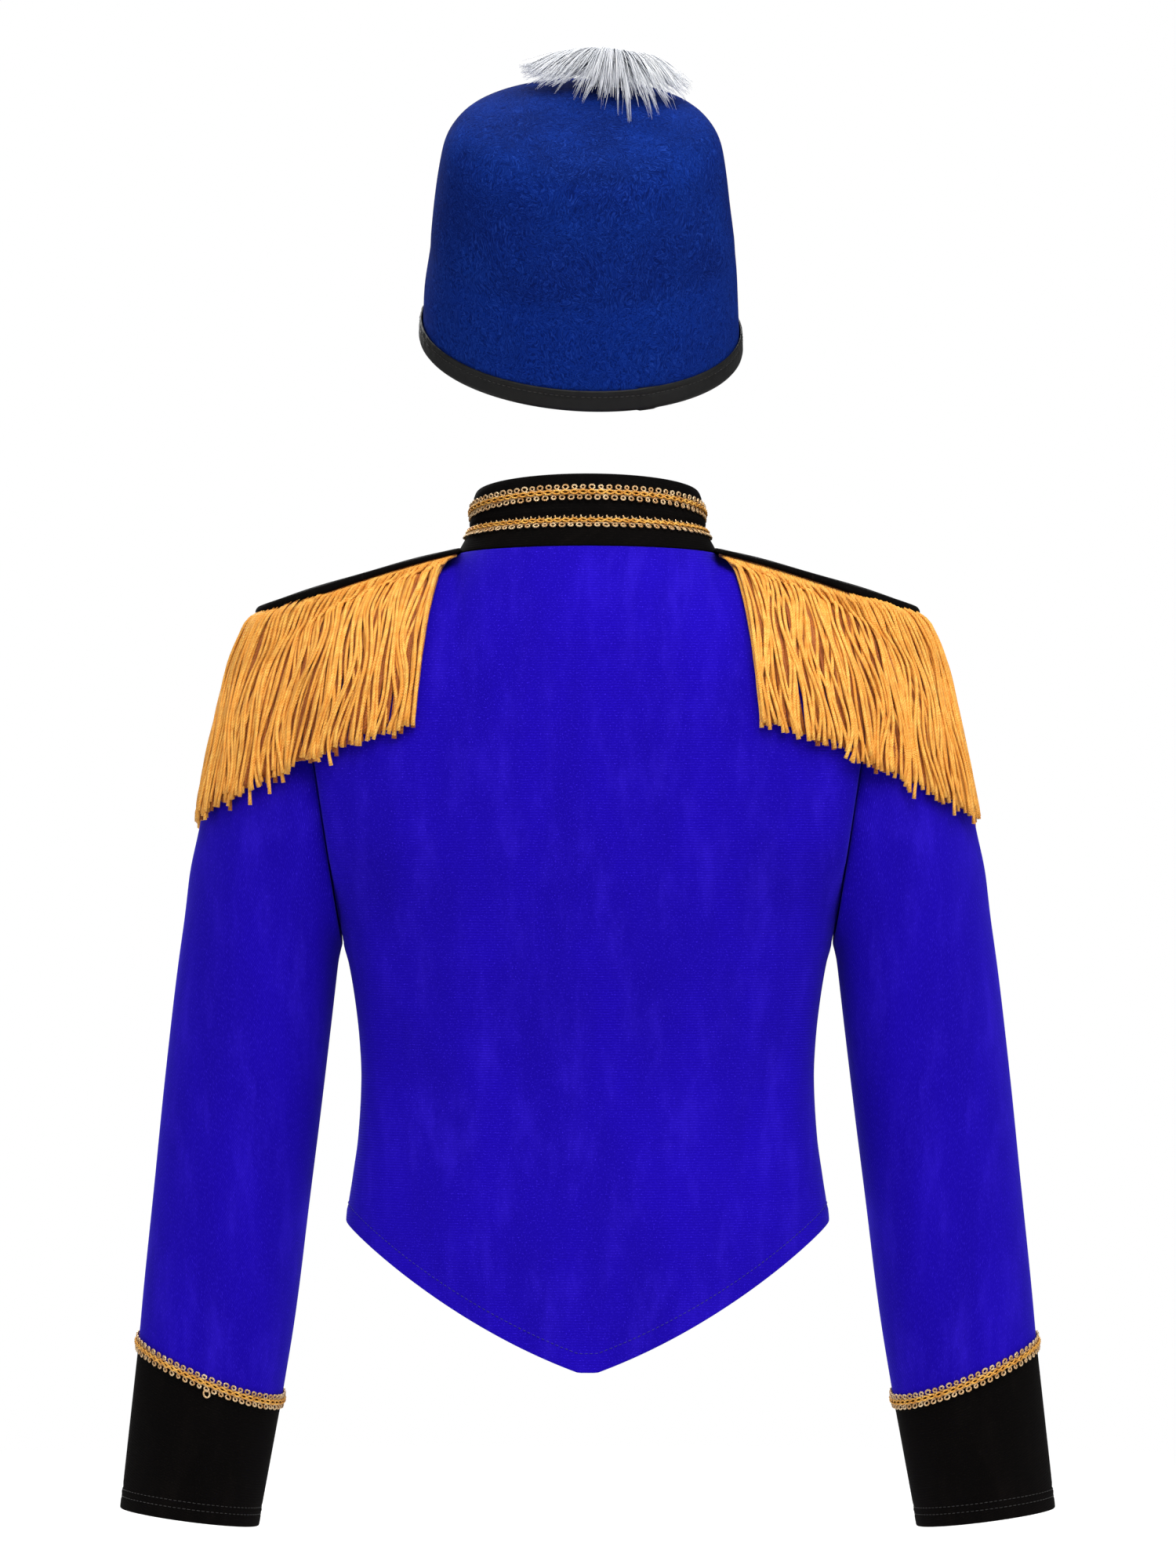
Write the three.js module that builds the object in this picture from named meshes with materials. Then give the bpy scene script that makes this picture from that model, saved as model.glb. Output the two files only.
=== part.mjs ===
// A child's marching band uniform: a hollow, worn velvet jacket with fringed epaulettes, and its felt hat.
// Millimetres, +Z up. The origin is in the middle of the neck at shoulder height and the wearer faces +Y.
// Every cloth piece is a thin wall: a grid of outer points and the same grid moved in by the cloth's thickness.
import * as THREE from 'three';

const clothWall = 1.4;
const seamGap = 0.3;

// The body: half width and the depths to back and front at each height, from hem to neck
const bodySections = [
  { z: -445, width: 129.0, back: 86, front: 80 },
  { z: -360, width: 129.0, back: 80, front: 79 },
  { z: -336, width: 125.8, back: 77, front: 77 },
  { z: -315, width: 122.9, back: 74, front: 75 },
  { z: -284, width: 121.2, back: 71, front: 73 },
  { z: -262, width: 122.2, back: 72, front: 74 },
  { z: -241, width: 124.6, back: 75, front: 77 },
  { z: -222, width: 127.8, back: 78, front: 79 },
  { z: -210, width: 130.7, back: 79, front: 80 },
  { z: -160, width: 130.7, back: 83, front: 84 },
  { z: -100, width: 130.7, back: 84, front: 82 },
  { z: -40, width: 130.7, back: 82, front: 77 },
  { z: 20, width: 130.7, back: 80, front: 74 },
];
const bodyRoundness = 2.6;
const shoulderRoll = 80;

// Armhole: a loop from the underarm point to the shoulder point
const underarm = { x: 130.7, z: -210 };
const armholeDepth = 54;
const armholeSteps = 9;

// Shoulder seam: falls from the neck, a little faster further out
const shoulderStart = { x: 69, z: -3.3 };
const shoulderEndX = 157;
const shoulderFall = 0.2;
const shoulderBend = 0.0017;

// Hem: level in front, and a V behind that is blunt at its tip
const hemSideZ = -360;
const hemTipZ = -435.8;
const hemTipHalf = 5;
const hemStraight = 0.6;

// Columns of a panel from its middle to its side, as shares of half its width
const panelColumns = [0, 0.11, 0.22, 0.33, shoulderStart.x / shoulderEndX, 0.57, 0.69, 0.79, 0.88, 0.95, 0.987, 1];
const panelRowsBelow = [0, 0.17, 0.34, 0.5, 0.66, 0.84, 1];
const frontLap = 12;

// Neck and collar: each ring's height behind, at the side and in front, with half its width and depth
const neckRings = [
  { name: 'seam', back: 2.0, side: -3.0, front: -8.0, width: 69.0, depth: 60.0 },
  { name: 'flare', back: 10.2, side: 5.6, front: 1.0, width: 65.0, depth: 55.0 },
  { name: 'pinch', back: 17.0, side: 10.6, front: 4.2, width: 61.0, depth: 50.5 },
  { name: 'ridge', back: 24.8, side: 15.6, front: 6.4, width: 62.0, depth: 51.5 },
  { name: 'shoulder', back: 35.4, side: 24.6, front: 13.8, width: 61.0, depth: 49.5 },
  { name: 'top', back: 39.2, side: 29.2, front: 19.2, width: 58.4, depth: 46.0 },
];
const collarColumns = 32;
const collarOpening = 0.6;
const collarBraidFrom = 0.04;
const collarBraidTo = 0.96;

// Sleeve: the underarm line and the top line at each ring, half the depth between them, and how far the ring's
// middle is carried forward. Lean tips a ring so that its back is lower than its front.
const sleeveRings = [
  { innerX: 130.7, innerZ: -210.0, outerX: 157.0, outerZ: -34.1, depth: 54.0, forward: 0, lean: 0 },
  { innerX: 131.1, innerZ: -211.2, outerX: 168.0, outerZ: -42.0, depth: 55.5, forward: 0, lean: 0 },
  { innerX: 131.5, innerZ: -212.6, outerX: 180.0, outerZ: -57.0, depth: 55.5, forward: 0, lean: 0 },
  { innerX: 132.0, innerZ: -214.4, outerX: 190.0, outerZ: -78.0, depth: 54.0, forward: 0, lean: 0 },
  { innerX: 132.6, innerZ: -217.0, outerX: 198.0, outerZ: -103.0, depth: 52.0, forward: 0.3, lean: 0 },
  { innerX: 133.4, innerZ: -221.0, outerX: 205.0, outerZ: -134.0, depth: 49.5, forward: 0.8, lean: 0 },
  { innerX: 134.8, innerZ: -232.0, outerX: 212.0, outerZ: -174.0, depth: 46.5, forward: 1.6, lean: 0 },
  { innerX: 138.0, innerZ: -259.0, outerX: 219.4, outerZ: -222.0, depth: 44.0, forward: 3.0, lean: 0 },
  { innerX: 143.6, innerZ: -305.0, outerX: 226.6, outerZ: -283.0, depth: 42.0, forward: 5.5, lean: 1 },
  { innerX: 149.6, innerZ: -352.0, outerX: 232.6, outerZ: -341.0, depth: 40.0, forward: 8.5, lean: 3 },
  { innerX: 156.8, innerZ: -410.0, outerX: 238.0, outerZ: -392.0, depth: 38.0, forward: 12, lean: 5 },
  { innerX: 164.4, innerZ: -456.5, outerX: 241.0, outerZ: -424.6, depth: 36.5, forward: 14, lean: 7.5 },
];
const cuffRings = [
  sleeveRings[sleeveRings.length - 1],
  { innerX: 168.6, innerZ: -479.2, outerX: 244.4, outerZ: -454.7, depth: 35.8, forward: 15, lean: 5 },
  { innerX: 172.8, innerZ: -502.0, outerX: 247.8, outerZ: -484.8, depth: 35.0, forward: 16, lean: 2.5 },
  { innerX: 177.0, innerZ: -524.8, outerX: 251.2, outerZ: -515.0, depth: 34.5, forward: 17, lean: 0 },
];

// Gimp braid
const braidWidth = 9;
const braidThickness = 1.5;

// Epaulette board: stations from the neck to the round tip, and the line of its top
const boardInner = { x: 70.4, half: 36 };
const boardRound = { x: 136, half: 42 };
const boardTipFlat = 5;
const boardThickness = 2.9;
const boardCamber = 1.6;
const boardTopZ = 0.6;
const boardFall = 0.225;
const boardBend = 0.00062;

// Fringe: strands side by side round the board's edge, on a heading tape
const strandCount = 64;
const strandShare = 0.62;
const strandThickness = 1.3;
const strandHalfWidth = 1.3;
const headingHeight = 3;
const headingInset = 1.6;
const fringeClear = 3.6;
const fringeLeanIn = 2.4;
const fringeSwing = 20;
const strandSteps = [0, 0.07, 0.24, 0.55, 1];
// The fringe covers the sleeve down to this ring
const sleeveHeadRings = 8;
const searchSteps = 24;
const fringeBottom = { innerX: 92, roundX: 165, tipX: 209.2, innerZ: -92.5, fall: 0.3, bend: 0.0009 };

// Hat: profile of the outside, tilt of the crown towards -Y and its roll
const hatProfile = [
  { z: 0, radius: 86.0 },
  { z: 30, radius: 84.6 },
  { z: 60, radius: 82.0 },
  { z: 88, radius: 78.7 },
  { z: 106, radius: 75.8 },
  { z: 115, radius: 73.6 },
  { z: 121, radius: 70.4 },
  { z: 125.5, radius: 66.0 },
  { z: 129, radius: 57.0 },
  { z: 131.6, radius: 40.0 },
  { z: 133.2, radius: 20.0 },
];
const hatTopZ = 133.6;
const hatSides = 30;
const feltWall = 1.8;
const hatPlace = { x: -3.6, y: 31, z: 112.8, tilt: 27.5, roll: 0.6 };
const rimSlant = { rise: 0.045, fadeZ: 70 };
const bindingHeight = 10.5;
const bindingThickness = 1.1;

// Feather: barbs that fan out of a short quill lying on the far edge of the crown
const barbCount = 34;
const barbThickness = 0.9;
const quill = { x: 12, y: 40, z: 131.9, half: 12, height: 1.6 };
const plume = { height: 25, forward: 50, spread: 41.5 };

const degrees = Math.PI / 180;

// Value of a table's column at a height, along a smooth curve through its rows
function readTable(rows, key, column, at) {
  const last = rows.length - 1;
  const upward = rows[last][key] > rows[0][key];
  const position = upward ? at : -at;
  const knots = rows.map((row) => (upward ? row[key] : -row[key]));
  let i = 0;
  while (i < last - 1 && position > knots[i + 1]) i += 1;
  const slope = (k) => {
    const low = Math.max(k - 1, 0);
    const high = Math.min(k + 1, last);
    return (rows[high][column] - rows[low][column]) / (knots[high] - knots[low]);
  };
  const span = knots[i + 1] - knots[i];
  const t = THREE.MathUtils.clamp((position - knots[i]) / span, 0, 1);
  const t2 = t * t;
  const t3 = t2 * t;
  return (2 * t3 - 3 * t2 + 1) * rows[i][column] + (t3 - 2 * t2 + t) * span * slope(i)
    + (3 * t2 - 2 * t3) * rows[i + 1][column] + (t3 - t2) * span * slope(i + 1);
}

const bodyAt = (column, z) => readTable(bodySections, 'z', column, z);

// Plan of the body from the middle (0) to the side (1): 1 in the middle and 0 at the side seam
function planBulge(across) {
  const share = Math.min(Math.abs(across), 1);
  return (1 - share ** bodyRoundness) ** (1 / bodyRoundness);
}

const quarterRound = (share) => Math.sqrt(Math.max(0, 1 - (1 - Math.min(share, 1)) ** 2));

function hemHeight(x, face) {
  if (face > 0) return hemSideZ;
  const side = bodySections[0].width;
  const from = Math.max(Math.abs(x), hemTipHalf) - hemTipHalf;
  const whole = side - hemTipHalf;
  const rise = hemSideZ - hemTipZ;
  return hemTipZ + rise * (hemStraight * (from / whole) + (1 - hemStraight) * (from / whole) ** 2);
}

function neckRing(name) {
  return neckRings.find((ring) => ring.name === name);
}

// Point of the collar's surface: a share between two neighbouring rings, at an angle from the centre back
function neckPoint(lower, upper, share, angle) {
  const mix = (key) => THREE.MathUtils.lerp(lower[key], upper[key], share);
  const cosine = Math.cos(angle);
  const towards = cosine > 0 ? mix('back') : mix('front');
  const z = THREE.MathUtils.lerp(mix('side'), towards, Math.abs(cosine));
  return new THREE.Vector3(mix('width') * Math.sin(angle), -mix('depth') * cosine, z);
}

function shoulderHeight(x) {
  const out = Math.max(Math.abs(x) - shoulderStart.x, 0);
  return shoulderStart.z - shoulderFall * out - shoulderBend * out * out;
}

// Top edge of a panel: the neck seam inside the shoulder's start, the shoulder seam outside it
function panelTop(x, face) {
  const seam = neckRing('seam');
  if (Math.abs(x) >= seam.width) return { z: shoulderHeight(x), y: 0 };
  const cosine = Math.sqrt(1 - (x / seam.width) ** 2);
  const z = THREE.MathUtils.lerp(shoulderStart.z, face < 0 ? seam.back : seam.front, cosine);
  return { z, y: seam.depth * cosine };
}

// Outer surface of the bodice. Across runs from side seam (-1) to side seam (1); up runs from the hem (0) over the
// underarm (1) to the neck and shoulder seams (2); face is -1 behind and 1 in front.
function bodicePoint(across, up, face) {
  const side = face < 0 ? 'back' : 'front';
  const bulge = planBulge(across);
  if (up <= 1) {
    const hem = hemHeight(across * bodySections[0].width, face);
    const z = THREE.MathUtils.lerp(hem, underarm.z, up);
    return new THREE.Vector3(across * bodyAt('width', z), face * bodyAt(side, z) * bulge, z);
  }
  const turn = Math.PI * (2 - up);
  const rise = (1 + Math.cos(turn)) / 2;
  const top = panelTop(across * shoulderEndX, face);
  const z = THREE.MathUtils.lerp(underarm.z, top.z, rise);
  const x = across * THREE.MathUtils.lerp(underarm.x, shoulderEndX, rise);
  const neckShare = top.y > 0 ? Math.min(top.y / (bulge * bodyAt(side, top.z)), 1) : 0;
  const neckDrop = shoulderRoll * (1 - Math.sqrt(1 - neckShare ** 2));
  const roll = quarterRound((top.z - z + neckDrop) / shoulderRoll);
  const depth = bulge * bodyAt(side, z) * roll + (1 - bulge) * armholeDepth * Math.sin(turn);
  return new THREE.Vector3(x, face * depth, z);
}

// Outward normal of a surface given as a function of two parameters
function surfaceNormal(surface, a, b, lowB, highB) {
  const step = 0.002;
  const a0 = Math.max(a - step, -1);
  const a1 = Math.min(a + step, 1);
  const b0 = Math.max(b - step, lowB);
  const b1 = Math.min(b + step, highB);
  const alongA = surface(a1, b).sub(surface(a0, b));
  const alongB = surface(a, b1).sub(surface(a, b0));
  return alongA.cross(alongB).normalize();
}

// Closed solid between an outer and an inner grid of points. Rows are lists of points; a wrapped grid closes on
// itself from its last column to its first.
function wallSolid(outer, inner, wrapped) {
  const rows = outer.length;
  const columns = outer[0].length;
  const points = [...outer.flat(), ...inner.flat()];
  const layer = rows * columns;
  const at = (side, row, column) => side * layer + row * columns + (column % columns);
  const faces = [];
  const quad = (a, b, c, d) => faces.push(a, b, c, a, c, d);
  const spans = wrapped ? columns : columns - 1;
  for (let row = 0; row < rows - 1; row += 1) {
    for (let column = 0; column < spans; column += 1) {
      quad(at(0, row, column), at(0, row, column + 1), at(0, row + 1, column + 1), at(0, row + 1, column));
      quad(at(1, row, column), at(1, row + 1, column), at(1, row + 1, column + 1), at(1, row, column + 1));
    }
  }
  for (let column = 0; column < spans; column += 1) {
    const top = rows - 1;
    quad(at(0, 0, column), at(1, 0, column), at(1, 0, column + 1), at(0, 0, column + 1));
    quad(at(0, top, column), at(0, top, column + 1), at(1, top, column + 1), at(1, top, column));
  }
  if (!wrapped) {
    const edge = columns - 1;
    for (let row = 0; row < rows - 1; row += 1) {
      quad(at(0, row, 0), at(0, row + 1, 0), at(1, row + 1, 0), at(1, row, 0));
      quad(at(0, row, edge), at(1, row, edge), at(1, row + 1, edge), at(0, row + 1, edge));
    }
  }
  return solidFrom(points, faces);
}

// Indexed geometry whose faces are turned outwards
function solidFrom(points, faces) {
  let volume = 0;
  for (let i = 0; i < faces.length; i += 3) {
    const [a, b, c] = [points[faces[i]], points[faces[i + 1]], points[faces[i + 2]]];
    volume += a.dot(new THREE.Vector3().crossVectors(b, c));
  }
  const ordered = volume > 0 ? faces : [...faces].reverse();
  const geometry = new THREE.BufferGeometry();
  geometry.setAttribute('position', new THREE.Float32BufferAttribute(points.flatMap((p) => p.toArray()), 3));
  geometry.setIndex(ordered);
  return geometry;
}

function mirrored(geometry) {
  const copy = geometry.clone();
  copy.scale(-1, 1, 1);
  copy.setIndex([...geometry.getIndex().array].reverse());
  return copy;
}

// Plane of the armhole on the wearer's right: through the underarm point, its normal pointing away from the body
function armholePlane() {
  const along = new THREE.Vector3(shoulderEndX - underarm.x, 0, shoulderHeight(shoulderEndX) - underarm.z);
  const normal = new THREE.Vector3(along.z, 0, -along.x).normalize();
  return { point: new THREE.Vector3(underarm.x, 0, underarm.z), normal };
}

// Keeps a panel's point on its own side of the side, shoulder and armhole seams
function keepInSeams(point, up, face) {
  point.y = face * Math.max(face * point.y, seamGap / 2);
  if (up < 1) return point;
  const plane = armholePlane();
  const sign = point.x < 0 ? -1 : 1;
  const over = (sign * point.x - plane.point.x) * plane.normal.x + (point.z - plane.point.z) * plane.normal.z;
  const excess = Math.max(over + seamGap / 2, 0);
  point.x -= sign * plane.normal.x * excess;
  point.z -= plane.normal.z * excess;
  return point;
}

function panelRows() {
  const above = Array.from({ length: armholeSteps }, (_, i) => 1 + (i + 1) / armholeSteps);
  return [...panelRowsBelow, ...above];
}

// Wall of one body panel between two columns lists; lift moves points outwards
function bodicePanel(columns, face, lift) {
  const surface = (a, b) => bodicePoint(a, b, face);
  const outer = [];
  const inner = [];
  for (const up of panelRows()) {
    const outerRow = [];
    const innerRow = [];
    for (const across of columns) {
      const low = up > 1 ? 1 : 0;
      const high = up > 1 ? 2 : 1;
      const normal = surfaceNormal(surface, across, up, low, high).multiplyScalar(face < 0 ? 1 : -1);
      const base = surface(across, up);
      const out = base.clone().addScaledVector(normal, lift(across));
      outerRow.push(keepInSeams(out, up, face));
      innerRow.push(keepInSeams(out.clone().addScaledVector(normal, -clothWall), up, face));
    }
    outer.push(outerRow);
    inner.push(innerRow);
  }
  return wallSolid(outer, inner, false);
}

const mirroredColumns = [...panelColumns.slice(1).map((share) => -share).reverse(), ...panelColumns];

function backPanel() {
  return bodicePanel(mirroredColumns, -1, () => 0);
}

// The fronts lap at the centre: the left one lies over the right one there
const lapShare = frontLap / bodySections[0].width;

function frontRight() {
  return bodicePanel([-lapShare, ...panelColumns], 1, () => 0);
}

function frontLeft() {
  const lapLift = clothWall + seamGap;
  const fade = panelColumns[2];
  const lift = (across) => lapLift * THREE.MathUtils.clamp((across + fade + lapShare) / fade, 0, 1);
  const columns = [...panelColumns.map((share) => -share).reverse(), lapShare];
  return bodicePanel(columns, 1, lift);
}

// Neck pieces: walls between two heights of the ring table, open at the centre front
function neckStrip(levels, lift, thickness, trimLow, trimHigh) {
  const outer = [];
  const inner = [];
  levels.forEach(({ from, to, share }, index) => {
    const lower = neckRing(from);
    const upper = neckRing(to);
    const outerRow = [];
    const innerRow = [];
    for (let i = 0; i <= collarColumns; i += 1) {
      const span = Math.PI - collarOpening / neckRing('pinch').width;
      const angle = THREE.MathUtils.lerp(-span, span, i / collarColumns);
      const point = neckPoint(lower, upper, share, angle);
      const up = neckPoint(lower, upper, 1, angle).sub(neckPoint(lower, upper, 0, angle)).normalize();
      const along = new THREE.Vector3(Math.cos(angle) * upper.width, Math.sin(angle) * upper.depth, 0);
      const normal = along.cross(up).normalize();
      const trim = index === 0 ? trimLow : index === levels.length - 1 ? -trimHigh : 0;
      const out = point.addScaledVector(up, trim).addScaledVector(normal, lift);
      outerRow.push(out);
      innerRow.push(out.clone().addScaledVector(normal, -thickness));
    }
    outer.push(outerRow);
    inner.push(innerRow);
  });
  return wallSolid(outer, inner, false);
}

const ringLevel = (from, to, share) => ({ from, to, share });

function neckBand() {
  const levels = [ringLevel('seam', 'flare', 0), ringLevel('seam', 'flare', 1), ringLevel('flare', 'pinch', 1)];
  return neckStrip(levels, 0, clothWall, 2 * seamGap, seamGap / 2);
}

function collarStand() {
  const levels = [
    ringLevel('pinch', 'ridge', 0),
    ringLevel('pinch', 'ridge', 1),
    ringLevel('ridge', 'shoulder', 1),
    ringLevel('shoulder', 'top', 1),
  ];
  return neckStrip(levels, 0, clothWall, seamGap / 2, 0);
}

function collarBraid(from, to) {
  const levels = [ringLevel(from, to, collarBraidFrom), ringLevel(from, to, collarBraidTo)];
  return neckStrip(levels, braidThickness + seamGap, braidThickness, 0, 0);
}

// One ring of a sleeve or cuff: its middle, the directions across and through it, and half its sizes
function sleeveFrame(ring) {
  const inner = new THREE.Vector3(ring.innerX, ring.forward, ring.innerZ);
  const outer = new THREE.Vector3(ring.outerX, ring.forward, ring.outerZ);
  const across = outer.clone().sub(inner);
  const width = across.length() / 2;
  across.normalize();
  const away = new THREE.Vector3(across.z, 0, -across.x);
  const through = new THREE.Vector3(0, Math.cos(ring.lean * degrees), 0);
  through.addScaledVector(away, -Math.sin(ring.lean * degrees));
  const middle = inner.add(outer).multiplyScalar(0.5);
  return { middle, across, through, away, width, depth: ring.depth };
}

function sleevePoint(frame, turn, inset, shift) {
  return frame.middle.clone()
    .addScaledVector(frame.across, (frame.width - inset) * Math.cos(turn))
    .addScaledVector(frame.through, (frame.depth - inset) * Math.sin(turn))
    .addScaledVector(frame.away, shift);
}

// Wall round a list of rings; shift moves the first and last ring along the sleeve to leave the seams open
function sleeveWall(rings, firstShift, lastShift, lift, thickness) {
  const frames = rings.map(sleeveFrame);
  const last = frames.length - 1;
  const count = armholeSteps * 2;
  const row = (frame, index, inset) => {
    const shift = index === 0 ? firstShift : index === last ? lastShift : 0;
    return Array.from({ length: count }, (_, i) => sleevePoint(frame, i * 2 * Math.PI / count, inset, shift));
  };
  const outer = frames.map((frame, index) => row(frame, index, -lift));
  const inner = frames.map((frame, index) => row(frame, index, thickness - lift));
  return wallSolid(outer, inner, true);
}

// The cuff's braid lies over its seam, half on the sleeve and half on the cuff
function cuffBraid() {
  const seam = sleeveFrame(cuffRings[0]);
  const above = sleeveFrame(sleeveRings[sleeveRings.length - 2]);
  const below = sleeveFrame(cuffRings[1]);
  const count = armholeSteps * 2;
  const edge = (from, towards, lift) => Array.from({ length: count }, (_, i) => {
    const turn = i * 2 * Math.PI / count;
    const start = sleevePoint(from, turn, -lift, 0);
    const step = sleevePoint(towards, turn, -lift, 0).sub(start);
    return start.addScaledVector(step.normalize(), braidWidth / 2);
  });
  const rows = (lift) => [edge(seam, above, lift), edge(seam, seam, lift), edge(seam, below, lift)];
  return wallSolid(rows(seamGap + braidThickness), rows(seamGap), true);
}

// Epaulette board
function boardHalf(x) {
  if (x <= boardRound.x) {
    return THREE.MathUtils.mapLinear(x, boardInner.x, boardRound.x, boardInner.half, boardRound.half);
  }
  const out = x - boardRound.x;
  return Math.max(Math.sqrt(Math.max(boardRound.half ** 2 - out * out, 0)), boardTipFlat);
}

function boardTop(x, y) {
  const out = x - shoulderStart.x;
  return boardTopZ - boardFall * out - boardBend * out * out - boardCamber * (y / boardRound.half) ** 2;
}

function epaulette() {
  const straight = [0, 0.25, 0.5, 0.75, 1].map((t) => THREE.MathUtils.lerp(boardInner.x, boardRound.x, t));
  const round = [18, 36, 52, 68, 83].map((angle) => boardRound.x + boardRound.half * Math.sin(angle * degrees));
  const shares = [-1, -0.92, -0.5, 0, 0.5, 0.92, 1];
  const top = [];
  const bottom = [];
  for (const x of [...straight, ...round]) {
    const edge = (share) => (Math.abs(share) === 1 ? boardThickness / 3 : 0);
    const at = (share, z) => new THREE.Vector3(x, share * boardHalf(x), z);
    const surface = (share) => boardTop(x, share * boardHalf(x));
    top.push(shares.map((share) => at(share, surface(share) - edge(share))));
    bottom.push(shares.map((share) => at(share, surface(share) - boardThickness + edge(share))));
  }
  return wallSolid(top, bottom, false);
}

// Half depth of the garment's outer surface beside a shoulder, at a place seen from behind; 0 outside its outline
function bodiceDepth(x, z, face) {
  let rise = 0.8;
  let across = 1;
  for (let i = 0; i < searchSteps; i += 1) {
    across = x / THREE.MathUtils.lerp(underarm.x, shoulderEndX, rise);
    const top = panelTop(Math.min(across, 1) * shoulderEndX, face);
    rise = (z - underarm.z) / (top.z - underarm.z);
  }
  if (rise > 1 || across > 1) return 0;
  const up = 2 - Math.acos(2 * rise - 1) / Math.PI;
  return Math.abs(bodicePoint(across, up, face).y);
}

function sleeveDepth(x, z, face) {
  const point = new THREE.Vector3(x, 0, z);
  const ringAt = (position) => {
    const row = sleeveRings[0];
    const blended = {};
    const keys = Object.keys(row);
    const i = Math.min(Math.floor(position), sleeveRings.length - 2);
    for (const key of keys) {
      blended[key] = THREE.MathUtils.lerp(sleeveRings[i][key], sleeveRings[i + 1][key], position - i);
    }
    return sleeveFrame(blended);
  };
  const beyond = (frame) => (x - frame.middle.x) * frame.away.x + (z - frame.middle.z) * frame.away.z;
  if (beyond(ringAt(0)) < 0) return 0;
  let low = 0;
  let high = sleeveHeadRings;
  for (let i = 0; i < searchSteps; i += 1) {
    const middle = (low + high) / 2;
    if (beyond(ringAt(middle)) > 0) low = middle;
    else high = middle;
  }
  const frame = ringAt(low);
  const cosine = point.clone().setY(frame.middle.y).sub(frame.middle).dot(frame.across) / frame.width;
  if (Math.abs(cosine) >= 1) return 0;
  return frame.depth * Math.sqrt(1 - cosine * cosine) + face * frame.middle.y;
}

function garmentDepth(x, z, face) {
  return Math.max(bodiceDepth(x, z, face), sleeveDepth(x, z, face));
}

// Middle of a strand: place runs round the board's edge from the neck behind (-1) over the tip (0) to the neck in
// front (1); drop runs from the heading tape (0) to the strand's end (1)
function strandPoint(place, drop, ragged) {
  const face = place < 0 ? -1 : 1;
  const share = 1 - Math.abs(place);
  const bottom = fringeBottom;
  let root;
  let endX;
  if (share < 0.5) {
    const x = THREE.MathUtils.lerp(boardInner.x + headingInset, boardRound.x, share * 2);
    root = new THREE.Vector3(x, face * (boardHalf(x) - headingInset), 0);
    endX = THREE.MathUtils.lerp(bottom.innerX, bottom.roundX, share * 2);
  } else {
    const turn = (share * 2 - 1) * Math.PI / 2;
    const radius = boardRound.half - headingInset;
    root = new THREE.Vector3(boardRound.x + radius * Math.sin(turn), face * radius * Math.cos(turn), 0);
    endX = THREE.MathUtils.lerp(bottom.roundX, bottom.tipX, Math.sin(turn));
  }
  root.z = boardTop(root.x, root.y) - boardThickness - seamGap - headingHeight;
  const out = endX - bottom.innerX;
  const endZ = bottom.innerZ - bottom.fall * out - bottom.bend * out * out + ragged;
  const x = THREE.MathUtils.lerp(root.x, endX, drop ** (0.42 + 0.13 * share));
  const z = THREE.MathUtils.lerp(root.z, endZ, drop);
  const depth = garmentDepth(x - fringeLeanIn, z, face);
  const held = Math.max(Math.abs(root.y), depth > 0 ? depth + fringeClear : 0);
  const y = face * THREE.MathUtils.lerp(Math.abs(root.y), held, Math.min(drop * fringeSwing, 1));
  return new THREE.Vector3(x, y, z);
}

// Uneven ends: a fixed wave with no visible period
const raggedEnd = (index) => 2.2 * Math.sin(index * 12.99) + 1.6 * Math.sin(index * 4.1);

// Heading tape with strands growing out of its lower side: a wedge in cells, every second one a strand's root
function fringe() {
  const points = [];
  const faces = [];
  const quad = (a, b, c, d) => faces.push(a, b, c, a, c, d);
  const add = (point) => points.push(point) - 1;
  const cells = strandCount * 2 + 1;
  const pitch = 2 / (strandCount + (strandCount + 1) * (1 - strandShare) / strandShare);
  const places = [-1];
  for (let i = 0; i < cells; i += 1) {
    const width = i % 2 ? pitch : pitch * (1 - strandShare) / strandShare;
    places.push(places[i] + width);
  }
  const frameAt = (place, drop, ragged) => {
    const low = Math.max(place - 0.01, -1);
    const high = Math.min(place + 0.01, 1);
    const along = strandPoint(high, drop, ragged).sub(strandPoint(low, drop, ragged)).normalize();
    const from = Math.max(drop - 0.02, 0);
    const down = strandPoint(place, from + 0.04, ragged).sub(strandPoint(place, from, ragged)).normalize();
    return { along, out: along.clone().cross(down).normalize() };
  };
  const edges = places.map((place) => {
    const clamped = THREE.MathUtils.clamp(place, -1, 1);
    const foot = strandPoint(clamped, 0, 0);
    const flat = frameAt(clamped, 0, 0).along.cross(new THREE.Vector3(0, 0, -1)).normalize();
    return {
      top: add(foot.clone().setZ(foot.z + headingHeight)),
      outer: add(foot.clone().addScaledVector(flat, strandThickness / 2)),
      inner: add(foot.clone().addScaledVector(flat, -strandThickness / 2)),
    };
  });
  for (let i = 0; i < cells; i += 1) {
    const [a, b] = [edges[i], edges[i + 1]];
    quad(a.outer, b.outer, b.top, a.top);
    quad(b.inner, a.inner, a.top, b.top);
    if (i % 2 === 0) quad(a.inner, b.inner, b.outer, a.outer);
    else growStrand(a, b, (places[i] + places[i + 1]) / 2, i, { add, quad, frameAt });
  }
  faces.push(edges[0].top, edges[0].inner, edges[0].outer);
  faces.push(edges[cells].top, edges[cells].outer, edges[cells].inner);
  return solidFrom(points, faces);
}

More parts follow.
